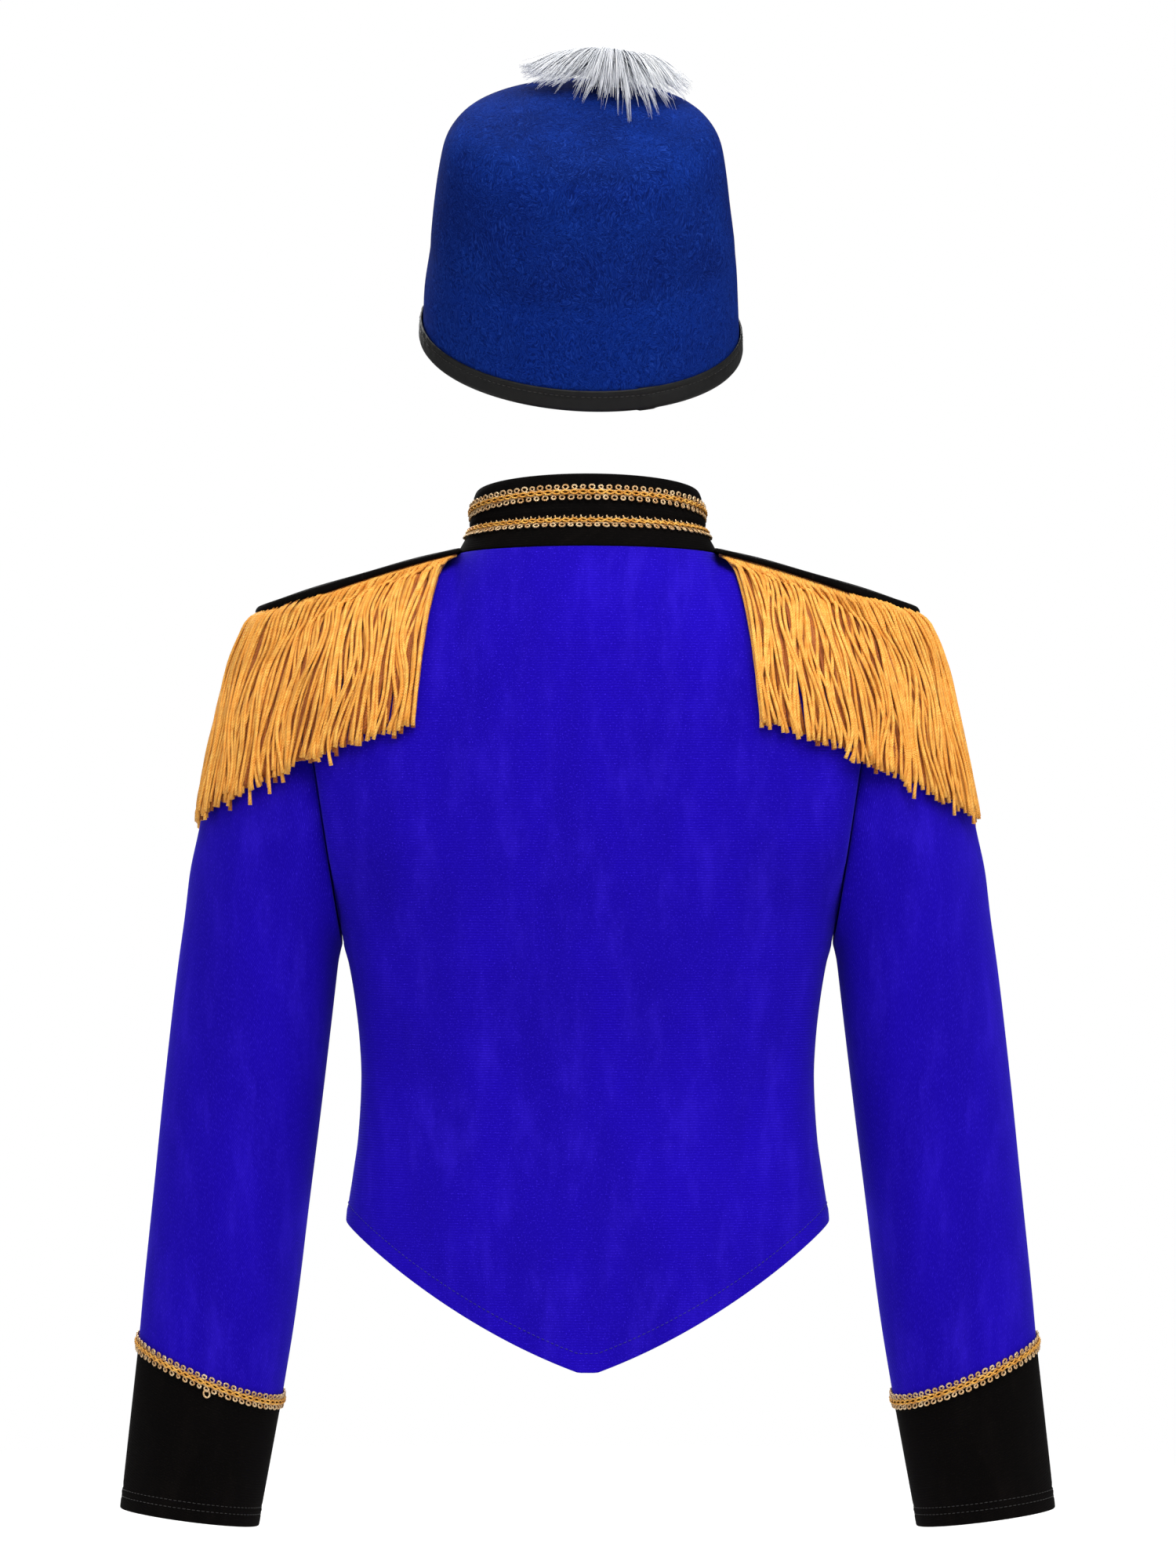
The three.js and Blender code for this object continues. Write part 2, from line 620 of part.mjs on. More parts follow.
// One strand from its root between two edges of the tape down to its end
function growStrand(a, b, place, index, { add, quad, frameAt }) {
  const ragged = raggedEnd(index);
  let ring = [a.outer, b.outer, b.inner, a.inner];
  for (const drop of strandSteps.slice(1)) {
    const middle = strandPoint(place, drop, ragged);
    const { along, out } = frameAt(place, drop, ragged);
    const corner = (side, face) => add(middle.clone()
      .addScaledVector(along, side * strandHalfWidth)
      .addScaledVector(out, face * strandThickness / 2));
    const next = [corner(-1, 1), corner(1, 1), corner(1, -1), corner(-1, -1)];
    for (let k = 0; k < 4; k += 1) {
      const m = (k + 1) % 4;
      quad(ring[m], ring[k], next[k], next[m]);
    }
    ring = next;
  }
  quad(ring[3], ring[2], ring[1], ring[0]);
}

// The rim is cut on a slight slant, which fades up the side
function rimHeight(x, z) {
  return z - rimSlant.rise * x * Math.max(0, 1 - Math.max(z, 0) / rimSlant.fadeZ);
}

// Solid of revolution about the hat's axis from a closed profile of radius and height
function turned(profile) {
  const rows = profile.map(({ radius, z }) => Array.from({ length: hatSides }, (_, i) => {
    const angle = i * 2 * Math.PI / hatSides;
    const x = radius * Math.sin(angle);
    return new THREE.Vector3(x, -radius * Math.cos(angle), rimHeight(x, z));
  }));
  const points = rows.flat();
  const faces = [];
  for (let row = 0; row < rows.length; row += 1) {
    const next = (row + 1) % rows.length;
    for (let i = 0; i < hatSides; i += 1) {
      const j = (i + 1) % hatSides;
      const [a, b] = [row * hatSides + i, row * hatSides + j];
      const [c, d] = [next * hatSides + j, next * hatSides + i];
      faces.push(a, b, c, a, c, d);
    }
  }
  return solidFrom(points, faces);
}

// The felt is a cap: its outer and inner skins each end in one point on the axis
function hatFelt() {
  const points = [];
  const faces = [];
  const skin = (inset) => hatProfile.map(({ z, radius }) => {
    const round = THREE.MathUtils.clamp((z - 106) / 20, 0, 1);
    const level = z === 0 ? 0 : z - inset * round;
    return Array.from({ length: hatSides }, (_, i) => {
      const angle = i * 2 * Math.PI / hatSides;
      const size = radius - inset * (1 - 0.4 * round);
      const x = size * Math.sin(angle);
      return points.push(new THREE.Vector3(x, -size * Math.cos(angle), rimHeight(x, level))) - 1;
    });
  });
  const [outer, inner] = [skin(0), skin(feltWall)];
  const topOuter = points.push(new THREE.Vector3(0, 0, hatTopZ)) - 1;
  const topInner = points.push(new THREE.Vector3(0, 0, hatTopZ - feltWall)) - 1;
  const last = hatProfile.length - 1;
  for (let i = 0; i < hatSides; i += 1) {
    const j = (i + 1) % hatSides;
    for (let row = 0; row < last; row += 1) {
      const [a, b, c, d] = [outer[row][i], outer[row][j], outer[row + 1][j], outer[row + 1][i]];
      faces.push(a, b, c, a, c, d);
      const [e, f, g, h] = [inner[row][i], inner[row][j], inner[row + 1][j], inner[row + 1][i]];
      faces.push(e, g, f, e, h, g);
    }
    faces.push(outer[last][i], outer[last][j], topOuter);
    faces.push(inner[last][j], inner[last][i], topInner);
    faces.push(outer[0][j], outer[0][i], inner[0][i], outer[0][j], inner[0][i], inner[0][j]);
  }
  return solidFrom(points, faces);
}

// Binding: one strip folded round the rim, up the outside and up the inside
function hatBinding() {
  const rim = hatProfile[0].radius;
  const slope = (hatProfile[0].radius - hatProfile[1].radius) / hatProfile[1].z;
  const radiusAt = (z) => rim - slope * z;
  const outside = seamGap;
  const inside = feltWall + seamGap;
  const profile = [
    { z: bindingHeight, radius: radiusAt(bindingHeight) + outside + bindingThickness },
    { z: bindingHeight, radius: radiusAt(bindingHeight) + outside },
    { z: -seamGap, radius: rim + outside },
    { z: -seamGap, radius: rim - inside },
    { z: bindingHeight, radius: radiusAt(bindingHeight) - inside },
    { z: bindingHeight, radius: radiusAt(bindingHeight) - inside - bindingThickness },
    { z: -seamGap - bindingThickness, radius: rim - inside - bindingThickness },
    { z: -seamGap - bindingThickness, radius: rim + outside + bindingThickness },
  ];
  return turned(profile);
}

// Barb of the feather: from the quill up and over the crown. The middle ones fall forwards onto the crown and the
// outer ones stand out sideways.
function barbPoint(place, drop, index) {
  const uneven = 1 + 0.12 * Math.sin(index * 7.3);
  const sideways = (plume.spread - quill.half) * place * drop ** 0.8;
  const forward = plume.forward * uneven * Math.cos(place * 1.25) * drop ** 1.6;
  const turn = Math.PI * (0.96 - 0.42 * Math.abs(place) ** 1.5) * drop ** 0.75;
  const rise = plume.height * (1 - 0.15 * place - 0.25 * place * place) * Math.sin(turn);
  return new THREE.Vector3(quill.x + quill.half * place + sideways, quill.y - forward, quill.z + quill.height + rise);
}

function feather() {
  const points = [];
  const faces = [];
  const quad = (a, b, c, d) => faces.push(a, b, c, a, c, d);
  const add = (point) => points.push(point) - 1;
  const cells = barbCount * 2 + 1;
  const edges = Array.from({ length: cells + 1 }, (_, i) => {
    const x = quill.x + quill.half * (2 * i / cells - 1);
    return {
      bottom: add(new THREE.Vector3(x, quill.y, quill.z)),
      front: add(new THREE.Vector3(x, quill.y - barbThickness, quill.z + quill.height)),
      back: add(new THREE.Vector3(x, quill.y + barbThickness, quill.z + quill.height)),
    };
  });
  for (let i = 0; i < cells; i += 1) {
    const [a, b] = [edges[i], edges[i + 1]];
    quad(a.bottom, b.bottom, b.front, a.front);
    quad(b.bottom, a.bottom, a.back, b.back);
    if (i % 2 === 0) {
      quad(a.front, b.front, b.back, a.back);
      continue;
    }
    const place = 2 * (i + 0.5) / cells - 1;
    let ring = [a.front, b.front, b.back, a.back];
    for (const drop of [0.3, 0.6, 1]) {
      const middle = barbPoint(place, drop, i);
      const down = barbPoint(place, drop, i).sub(barbPoint(place, drop - 0.05, i)).normalize();
      const sideways = new THREE.Vector3(1, 0, 0).addScaledVector(down, -down.x).normalize();
      const out = sideways.clone().cross(down).normalize();
      const half = (1.1 - 0.8 * drop) * 0.9;
      const corner = (s, t) => add(middle.clone().addScaledVector(sideways, s * half).addScaledVector(out, t * half));
      const next = [corner(-1, -1), corner(1, -1), corner(1, 1), corner(-1, 1)];
      for (let k = 0; k < 4; k += 1) {
        const m = (k + 1) % 4;
        quad(ring[k], ring[m], next[m], next[k]);
      }
      ring = next;
    }
    quad(ring[0], ring[1], ring[2], ring[3]);
  }
  faces.push(edges[0].bottom, edges[0].front, edges[0].back);
  faces.push(edges[cells].bottom, edges[cells].back, edges[cells].front);
  return solidFrom(points, faces);
}

const materials = {
  blueVelvet: new THREE.MeshStandardMaterial({ color: 0x2200b4, roughness: 0.85, metalness: 0 }),
  blackVelvet: new THREE.MeshStandardMaterial({ color: 0x0c0c0a, roughness: 0.9, metalness: 0 }),
  goldBraid: new THREE.MeshStandardMaterial({ color: 0xc99a4a, roughness: 0.4, metalness: 0.5 }),
  goldFringe: new THREE.MeshStandardMaterial({ color: 0xf5a838, roughness: 0.55, metalness: 0 }),
  blueFelt: new THREE.MeshStandardMaterial({ color: 0x0a2a8c, roughness: 0.95, metalness: 0 }),
  blackSatin: new THREE.MeshStandardMaterial({ color: 0x1c1c1c, roughness: 0.5, metalness: 0 }),
  whiteFeather: new THREE.MeshStandardMaterial({ color: 0xe8eaf0, roughness: 0.8, metalness: 0 }),
};

const group = new THREE.Group();

function addPiece(parent, name, geometry, material) {
  const mesh = new THREE.Mesh(geometry, material);
  mesh.name = name;
  parent.add(mesh);
}

// The wearer faces +Y, so the right side of the body is at +X
function addPair(name, geometry, material) {
  addPiece(group, `${name}_right`, geometry, material);
  addPiece(group, `${name}_left`, mirrored(geometry), material);
}

addPiece(group, 'back_panel', backPanel(), materials.blueVelvet);
addPiece(group, 'front_left', frontLeft(), materials.blueVelvet);
addPiece(group, 'front_right', frontRight(), materials.blueVelvet);
addPiece(group, 'neck_band', neckBand(), materials.blackVelvet);
addPiece(group, 'collar_stand', collarStand(), materials.blackVelvet);
addPiece(group, 'braid_collar_lower', collarBraid('flare', 'pinch'), materials.goldBraid);
addPiece(group, 'braid_collar_upper', collarBraid('ridge', 'shoulder'), materials.goldBraid);
addPair('sleeve', sleeveWall(sleeveRings, seamGap / 2, -seamGap / 2, 0, clothWall), materials.blueVelvet);
addPair('cuff', sleeveWall(cuffRings, seamGap / 2, 0, 0, clothWall), materials.blackVelvet);
addPair('braid_cuff', cuffBraid(), materials.goldBraid);
addPair('epaulette', epaulette(), materials.blackVelvet);
addPair('fringe', fringe(), materials.goldFringe);

const hat = new THREE.Group();
hat.position.set(hatPlace.x, hatPlace.y, hatPlace.z);
hat.rotation.set(hatPlace.tilt * degrees, hatPlace.roll * degrees, 0, 'YXZ');
addPiece(hat, 'hat_felt', hatFelt(), materials.blueFelt);
addPiece(hat, 'hat_binding', hatBinding(), materials.blackSatin);
addPiece(hat, 'hat_feather', feather(), materials.whiteFeather);
group.add(hat);

export default group;
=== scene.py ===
# A child's marching band uniform: a worn velvet jacket with fringed epaulettes, and its felt hat.
# Numbers are millimetres and become metres in the meshes. +Z is up and the back in the picture faces -Y.
from functools import partial

import bpy
import numpy as np
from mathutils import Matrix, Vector


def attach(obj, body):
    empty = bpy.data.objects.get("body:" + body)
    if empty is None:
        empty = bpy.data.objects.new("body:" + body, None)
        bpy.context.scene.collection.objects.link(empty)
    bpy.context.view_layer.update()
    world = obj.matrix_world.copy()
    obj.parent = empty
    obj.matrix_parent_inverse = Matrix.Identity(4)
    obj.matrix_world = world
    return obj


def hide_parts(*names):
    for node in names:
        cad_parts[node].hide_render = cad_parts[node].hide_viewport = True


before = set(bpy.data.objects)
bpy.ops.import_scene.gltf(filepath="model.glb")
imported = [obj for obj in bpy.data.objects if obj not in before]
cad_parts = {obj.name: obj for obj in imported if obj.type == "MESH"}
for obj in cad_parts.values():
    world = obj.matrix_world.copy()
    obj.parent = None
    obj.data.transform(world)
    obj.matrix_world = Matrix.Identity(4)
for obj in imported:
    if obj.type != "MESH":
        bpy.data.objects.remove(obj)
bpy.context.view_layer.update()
metres = 0.001
sides = (("right", 1), ("left", -1))

print("camera and light")
studio = {
    "cameraPlace": (0.2, -4667, -126),
    "lens": 200,
    "sensor": 36,
    "floorZ": -606,
    "floorFade": (900, 1700),  # distances from the middle where the floor starts to fade and where it ends
    "world": 0.21,  # how much of its white the room sheds on the object
    # name: place, aim, size, spread in degrees, watts, colour
    "lamps": {
        "keySoftbox": ((320, -1000, 1150), (0, 0, 0), (1300, 1300), 170, 33, "#FFFDF8"),
        "fillSoftbox": ((-1300, -2000, 700), (0, 0, -150), (1500, 1500), 170, 7, "#F8FAFF"),
        "sideSoftboxRight": ((1900, -500, 250), (0, 0, -100), (1200, 1500), 170, 8, "#FFFFFF"),
        "sideSoftboxLeft": ((-1900, -500, 250), (0, 0, -100), (1200, 1500), 170, 6, "#FFFFFF"),
        "topSoftbox": ((0, 100, 1700), (0, 0, 0), (1400, 900), 170, 5, "#FFFFFF"),
        "frontSoftbox": ((-300, 1700, 1000), (0, 0, -100), (1500, 1500), 170, 38, "#FFFFFF"),
    },
}


# sRGB hex to linear light: c/12.92 in the dark, ((c+0.055)/1.055)^2.4 above
def linear(hexColour):
    part = np.array([int(hexColour[i:i + 2], 16) for i in (1, 3, 5)]) / 255
    low, high = part / 12.92, ((part + 0.055) / 1.055) ** 2.4
    return (*np.where(part <= 0.04045, low, high).tolist(), 1.0)


def newObject(name, data):
    thing = bpy.data.objects.new(name, data)
    bpy.context.scene.collection.objects.link(thing)
    return thing


camera = newObject("pictureCamera", bpy.data.cameras.new("pictureCamera"))
camera.data.lens = studio["lens"]
camera.data.sensor_width = studio["sensor"]
camera.data.clip_end = 30
camera.location = [c * metres for c in studio["cameraPlace"]]
camera.rotation_euler = (np.pi / 2, 0, 0)
bpy.context.scene.camera = camera
bpy.context.scene.view_settings.view_transform = "Standard"

world = bpy.data.worlds.new("whiteRoom")
bpy.context.scene.world = world
world.use_nodes = True
world.node_tree.nodes["Background"].inputs["Color"].default_value = linear("#FFFFFF")

for lampName, (place, aim, size, spread, watts, tint) in studio["lamps"].items():
    lamp = newObject(lampName, bpy.data.lights.new(lampName, "AREA"))
    lamp.data.shape = "RECTANGLE"
    lamp.data.size, lamp.data.size_y = size[0] * metres, size[1] * metres
    lamp.data.spread = np.radians(spread)
    lamp.data.energy = watts
    lamp.data.color = linear(tint)[:3]
    lamp.location = Vector(place) * metres
    lamp.rotation_euler = (Vector(place) - Vector(aim)).to_track_quat("Z", "Y").to_euler()


# Adds one node and gives one of its outputs: settings go to its properties, inputs are values or sockets to link
def addNode(tree, kind, inputs=None, output=0, **settings):
    node = tree.nodes.new("ShaderNode" + kind)
    for key, value in settings.items():
        setattr(node, key, value)
    for key, value in (inputs or {}).items():
        if isinstance(value, bpy.types.NodeSocket):
            tree.links.new(value, node.inputs[key])
        else:
            node.inputs[key].default_value = value
    return node.outputs[output] if node.outputs else node


# A new material, and the function that adds its nodes
def newMaterial(name):
    material = bpy.data.materials.new(name)
    material.use_nodes = True
    material.node_tree.nodes.clear()
    return material, partial(addNode, material.node_tree)


# The room's walls look white, and give the object a softer light than their look: seen x (1 - light) + light
light = studio["world"]
seen = addNode(world.node_tree, "LightPath", output="Is Camera Ray")
glow = addNode(world.node_tree, "Math", {0: seen, 1: 1 - light, 2: light}, operation="MULTIPLY_ADD")
world.node_tree.links.new(glow, world.node_tree.nodes["Background"].inputs["Strength"])

print("materials")
mixing = {"output": 2, "data_type": "RGBA"}  # a Mix of colours: share 0, first 6, second 7
easing = {"interpolation_type": "SMOOTHSTEP"}  # a Map Range from 0 to 1: value 0, low 1, high 2
velvet = {
    "stretch": (1, 0.35, 1),  # brushed patches are longer down the cloth than across it
    "nap": 22, "brushed": 60, "pile": 1150,  # noise scales: patches of about 45 and 17 mm, grains of 0.9 mm
    "courses": 224,  # the wave's period is 2 pi / (20 x scale), 1.4 mm
    # the second share is painted highlight where the pile glints, the third is painted shade between the courses
    "rubbed": 0.3, "paintedGlints": 0.75, "paintedCourseShade": 0.5,  # shares of each tone at its strongest
}


# Knitted stretch velvet: a short dense pile on a jersey ground. Dark where you look into the pile, a soft bright edge
# where you look across it, broad patches where the nap was brushed, painted highlights where the pile glints, and fine
# course lines with painted shade between them. Real pile is 0.1 mm thick and real courses lie 0.5 mm apart: too fine
# to show, so both are drawn as coarse as they need to show.
def velvetMaterial(name, deep, lit, rubbedAndGlintTone, tint, sheen):
    material, node = newMaterial(name)
    uv = node("UVMap", uv_map="clothMap")
    stretched = node("Mapping", {"Vector": uv, "Scale": velvet["stretch"]})
    nap = node("TexNoise", {"Vector": stretched, "Scale": velvet["nap"], "Detail": 3, "Roughness": 0.55})
    brushed = node("TexNoise", {"Vector": stretched, "Scale": velvet["brushed"], "Detail": 5, "Roughness": 0.65})
    pile = node("TexNoise", {"Vector": uv, "Scale": velvet["pile"], "Detail": 2, "Roughness": 0.7})
    courses = node("TexWave", {"Vector": uv, "Scale": velvet["courses"], "Distortion": 1.6, "Detail": 1.5,
                               "Detail Scale": 0.4}, 1, bands_direction="Y")
    broad = node("MapRange", {0: nap, 1: 0.32, 2: 0.7}, **easing)
    colour = node("Mix", {0: broad, 6: linear(deep), 7: linear(lit)}, **mixing)
    # rubbed patches (wear) and painted highlights where the pile glints in the pale tone, then painted shade between
    # the
    #     # courses in the deep one
    for value, low, high, most, tone in ((brushed, 0.45, 0.8, velvet["rubbed"], rubbedAndGlintTone),
                                         (pile, 0.55, 0.72, velvet["paintedGlints"], rubbedAndGlintTone),
                                         (courses, 0.5, 0.95, velvet["paintedCourseShade"], deep)):
        share = node("MapRange", {0: value, 1: low, 2: high}, **easing)
        share = node("Math", {0: share, 1: most}, operation="MULTIPLY")
        colour = node("Mix", {0: share, 6: colour, 7: linear(tone)}, **mixing)
    shown = node("MapRange", {0: nap, 1: 0.35, 2: 0.62}, **easing)
    shown = node("Math", {0: courses, 1: shown}, operation="MULTIPLY")
    height = node("Math", {0: shown, 1: pile}, operation="ADD")
    bump = node("Bump", {"Height": height, "Strength": 0.35, "Distance": 0.0003})
    shade = {"Base Color": colour, "Normal": bump, "Roughness": 0.92, "Specular IOR Level": 0.05,
             "Sheen Weight": sheen, "Sheen Roughness": 0.4, "Sheen Tint": linear(tint)}
    node("OutputMaterial", {"Surface": node("BsdfPrincipled", shade)})
    return material


blueVelvet = velvetMaterial("blueKnittedVelvet", "#150394", "#1904A4", "#3A22DC", "#6A5CFF", 0.18)
blackVelvet = velvetMaterial("blackKnittedVelvet", "#030202", "#050404", "#15110F", "#5A524C", 0.02)
felt = {
    "swirl": 38, "clouds": 26, "fibres": 900,  # noise scales: turns of 26 mm, clouds of 38 mm, fibres 1.1 mm wide
    "bend": 0.03,  # how far the swirl bends the fibres, in metres
    "lie": (1, 1, 0.34), "turned": (0.5, 0.9, 0.3),  # fibres are 3 times as long as wide and lie askew
    "darkShare": 0.6, "paleShare": 0.45,
}


# Pressed needle felt of dyed polyester fibre: matt, with short strokes of fibre swirled by the press, and painted
# shade:
# darker from 52 mm up the wall and darker again above 118 mm, over the top. Real fibres are 0.03 mm thick: too fine to
# show, so each stroke stands for a tuft of them.
def feltMaterial(name):
    material, node = newMaterial(name)
    place = node("TexCoord", output="Object")
    swirl = node("TexNoise", {"Vector": place, "Scale": felt["swirl"], "Detail": 2, "Distortion": 1.5}, 1)
    bent = node("VectorMath", {0: swirl, 1: (felt["bend"],) * 3}, operation="MULTIPLY")
    moved = node("VectorMath", {0: place, 1: bent}, operation="ADD")
    drawn = node("Mapping", {"Vector": moved, "Scale": felt["lie"], "Rotation": felt["turned"]})
    fibres = node("TexNoise", {"Vector": drawn, "Scale": felt["fibres"], "Detail": 4, "Roughness": 0.6,
                               "Distortion": 1.2})
    clouds = node("TexNoise", {"Vector": place, "Scale": felt["clouds"], "Detail": 3})
    height = node("SeparateXYZ", {0: node("UVMap", uv_map="clothMap")}, 1)
    base = linear("#0B2678")
    # each tone over the one before: where its value goes from low to high, at most by its share. The first two, by
    #     # height, are painted shade: darker from 52 mm up the wall and darker again above 118 mm.
    for value, low, high, most, tone in ((height, 0.052, 0.062, 1, "#0A2069"), (height, 0.118, 0.126, 1, "#091D5C"),
                                         (clouds, 0.35, 0.75, 1, "#0C2878"),
                                         (fibres, 0.52, 0.4, felt["darkShare"], "#040C3A"),
                                         (fibres, 0.53, 0.68, felt["paleShare"], "#2444A0")):
        share = node("MapRange", {0: value, 1: low, 2: high}, **easing)
        if most < 1:
            share = node("Math", {0: share, 1: most}, operation="MULTIPLY")
        base = node("Mix", {0: share, 6: base, 7: linear(tone)}, **mixing)
    bump = node("Bump", {"Height": fibres, "Strength": 0.7, "Distance": 0.0007})
    shade = {"Base Color": base, "Normal": bump, "Roughness": 0.95, "Specular IOR Level": 0.02,
             "Sheen Weight": 0.01, "Sheen Roughness": 0.5, "Sheen Tint": linear("#7FA0FF")}
    node("OutputMaterial", {"Surface": node("BsdfPrincipled", shade)})
    return material


blueFelt = feltMaterial("bluePressedFelt")


# Spun yarn: stripes run round each thread along its own map, so that its plies show. A knitted cord's stripes meet in
# a V instead, when vee is true. Pitch is the stripes' in mm, lean their turns to one round of the thread. Real plies
# lie 0.3 to 0.5 mm apart: too fine to show, so they are drawn 0.8 mm apart or more.
def yarnMaterial(name, dark, light, pitch, lean, contrast, vee, finish):
    material, node = newMaterial(name)
    uv = node("UVMap", uv_map="threadMap")
    strand, along = (node("SeparateXYZ", {0: uv}, axis) for axis in (0, 1))
    around = node("Math", {0: strand, 1: lean}, operation="MULTIPLY")
    if vee:
        around = node("Math", {0: around, 1: 1.0}, operation="PINGPONG")
    along = node("Math", {0: along, 1: 1 / (pitch * metres)}, operation="MULTIPLY")
    turns = node("Math", {0: around, 1: along}, operation="ADD")
    phase = node("Math", {0: turns, 1: 2 * np.pi}, operation="MULTIPLY")
    plies = node("Math", {0: phase}, operation="SINE")
    uneven = node("TexNoise", {"Vector": node("TexCoord", output="Object"), "Scale": 260, "Detail": 2})
    tone = node("TexWhiteNoise", {"W": node("Math", {0: strand}, operation="FLOOR")}, noise_dimensions="1D")
    share = node("Math", {0: node("MapRange", {0: plies, 1: -1, 2: 1}, **easing), 1: contrast}, operation="MULTIPLY")
    share = node("Math", {0: share, 1: node("MapRange", {0: uneven, 1: 0.3, 2: 0.75}, **easing)}, operation="ADD")
    share = node("Math", {0: share, 1: 1 / (1 + contrast)}, operation="MULTIPLY", use_clamp=True)
    share = node("Math", {0: share, 1: node("MapRange", {"Value": tone, "To Min": 0.45})}, operation="MULTIPLY")
    colour = node("Mix", {0: share, 6: linear(dark), 7: linear(light)}, **mixing)
    bump = node("Bump", {"Height": plies, "Strength": 0.5, "Distance": 0.0002})
    node("OutputMaterial", {"Surface": node("BsdfPrincipled", {"Base Color": colour, "Normal": bump, **finish})})
    return material


# Viscose chainette: soft knitted cords with a silky lustre; a darker copy for the under layer is painted shade in
# # the gaps between the cords
silky = {"Roughness": 0.5, "Specular IOR Level": 0.3, "Sheen Weight": 0.06}
chainette = yarnMaterial("goldViscoseChainette", "#DA8824", "#FFCC66", 1.5, 4, 1.2, True, silky)
paintedShadeChainette = yarnMaterial("paintedShadeViscoseChainette", "#86400E", "#BE7024", 1.5, 4, 1.2, True, silky)
# Metallic gimp: a cotton core wound with gold foil film, bright and grainy
foilLoop, foilCentre = {"Roughness": 0.34, "Metallic": 0.65}, {"Roughness": 0.36, "Metallic": 0.55}
gimpLoop = yarnMaterial("paleGoldGimpYarn", "#B07C3C", "#F6E4BE", 0.9, 1, 0.5, False, foilLoop)
gimpCentre = yarnMaterial("goldGimpYarn", "#C07C24", "#FFCE6A", 0.9, 1, 0.5, False, foilCentre)
# Spun polyester sewing thread: smooth, with a low shine
blueThread = yarnMaterial("bluePolyesterThread", "#12047A", "#2410A8", 0.8, 1, 0.5, False, {"Roughness": 0.5})
blackThread = yarnMaterial("blackPolyesterThread", "#0A0909", "#242120", 0.8, 1, 0.5, False, {"Roughness": 0.45})


# Black satin bias binding: close weave with a low lustre and small puckers. Real threads lie 0.1 mm apart: too fine to
# show, so they are drawn 0.6 mm apart, at 45 degrees because the strip is cut on the bias.
def satinMaterial(name):
    material, node = newMaterial(name)
    uv = node("UVMap", uv_map="clothMap")
    turned = node("Mapping", {"Vector": uv, "Rotation": (0, 0, 0.785)})
    weave = node("TexWave", {"Vector": turned, "Scale": 520, "Distortion": 0.6}, 1)
    marks = node("TexNoise", {"Vector": uv, "Scale": 120, "Detail": 3})
    share = node("MapRange", {0: marks, 1: 0.35, 2: 0.7}, **easing)
    colour = node("Mix", {0: share, 6: linear("#070707"), 7: linear("#0D0D0D")}, **mixing)
    height = node("Math", {0: weave, 1: marks}, operation="ADD")
    bump = node("Bump", {"Height": height, "Strength": 0.25, "Distance": 0.0003})
    rough = node("MapRange", {"Value": marks, "To Min": 0.36, "To Max": 0.56})
    shade = {"Base Color": colour, "Normal": bump, "Roughness": rough, "Specular IOR Level": 0.22}
    node("OutputMaterial", {"Surface": node("BsdfPrincipled", shade)})
    return material


blackSatin = satinMaterial("blackSatinBinding")


# Marabou down: bleached white barbs, cool in their shade, and thin enough for light to pass through and soften it
def featherMaterial(name):
    material, node = newMaterial(name)
    uv = node("UVMap", uv_map="threadMap")
    barb, along = (node("SeparateXYZ", {0: uv}, axis) for axis in (0, 1))
    tone = node("TexWhiteNoise", {"W": node("Math", {0: barb}, operation="FLOOR")}, noise_dimensions="1D")
    tufts = node("TexNoise", {"Vector": node("TexCoord", output="Object"), "Scale": 160, "Detail": 3})
    colour = linear("#D0D4DC")
    # each barb's own tone, cooler tufts, and the shaded first 50 mm from the root
    for value, low, high, most, tint in ((tone, 0.25, 0.9, 1, "#ECEEF3"), (tufts, 0.5, 0.72, 1, "#D8DCE5"),
                                         (along, 0.05, 0.022, 0.7, "#B4B9C3")):
        share = node("MapRange", {0: value, 1: low, 2: high}, **easing)
        if most < 1:
            share = node("Math", {0: share, 1: most}, operation="MULTIPLY")
        colour = node("Mix", {0: share, 6: colour, 7: linear(tint)}, **mixing)
    shade = {"Base Color": colour, "Roughness": 0.85, "Specular IOR Level": 0.1, "Subsurface Weight": 0.6,
             "Subsurface Scale": 0.003, "Subsurface Radius": (1, 1, 1)}
    node("OutputMaterial", {"Surface": node("BsdfPrincipled", shade)})
    return material


whiteDown = featherMaterial("whiteMarabouDown")


# Matt painted studio floor: pale, with a faint mottle, fading out into the white room
def floorMaterial(name):
    material, node = newMaterial(name)
    place = node("TexCoord", output="Object")
    mottle = node("TexNoise", {"Vector": place, "Scale": 3, "Detail": 2})
    colour = node("Mix", {0: mottle, 6: linear("#F6F6F6"), 7: linear("#FAFAFA")}, **mixing)
    flat = node("VectorMath", {0: place, 1: (1, 1, 0)}, operation="MULTIPLY")
    away = node("VectorMath", {0: flat}, "Value", operation="LENGTH")
    near, far = (distance * metres for distance in studio["floorFade"])
    shade = {"Base Color": colour, "Roughness": 0.9, "Specular IOR Level": 0.1,
             "Alpha": node("MapRange", {0: away, 1: far, 2: near}, **easing)}
    node("OutputMaterial", {"Surface": node("BsdfPrincipled", shade)})
    return material


def lerp(first, second, share):
    return first + (second - first) * share


def unit(vectors):
    return vectors / np.maximum(np.linalg.norm(vectors, axis=-1, keepdims=True), 1e-9)


# Eases from 0 to 1 as x goes from low to high: 3t^2 - 2t^3
def ease(x, low, high):
    t = np.clip((x - low) / (high - low), 0, 1)
    return t * t * (3 - 2 * t)


# Quarter circle: sqrt(1 - (1 - s)^2), so it rises steeply at 0 and is level at 1
def quarterRound(share):
    return np.sqrt(np.clip(1 - (1 - np.minimum(share, 1)) ** 2, 0, 1))


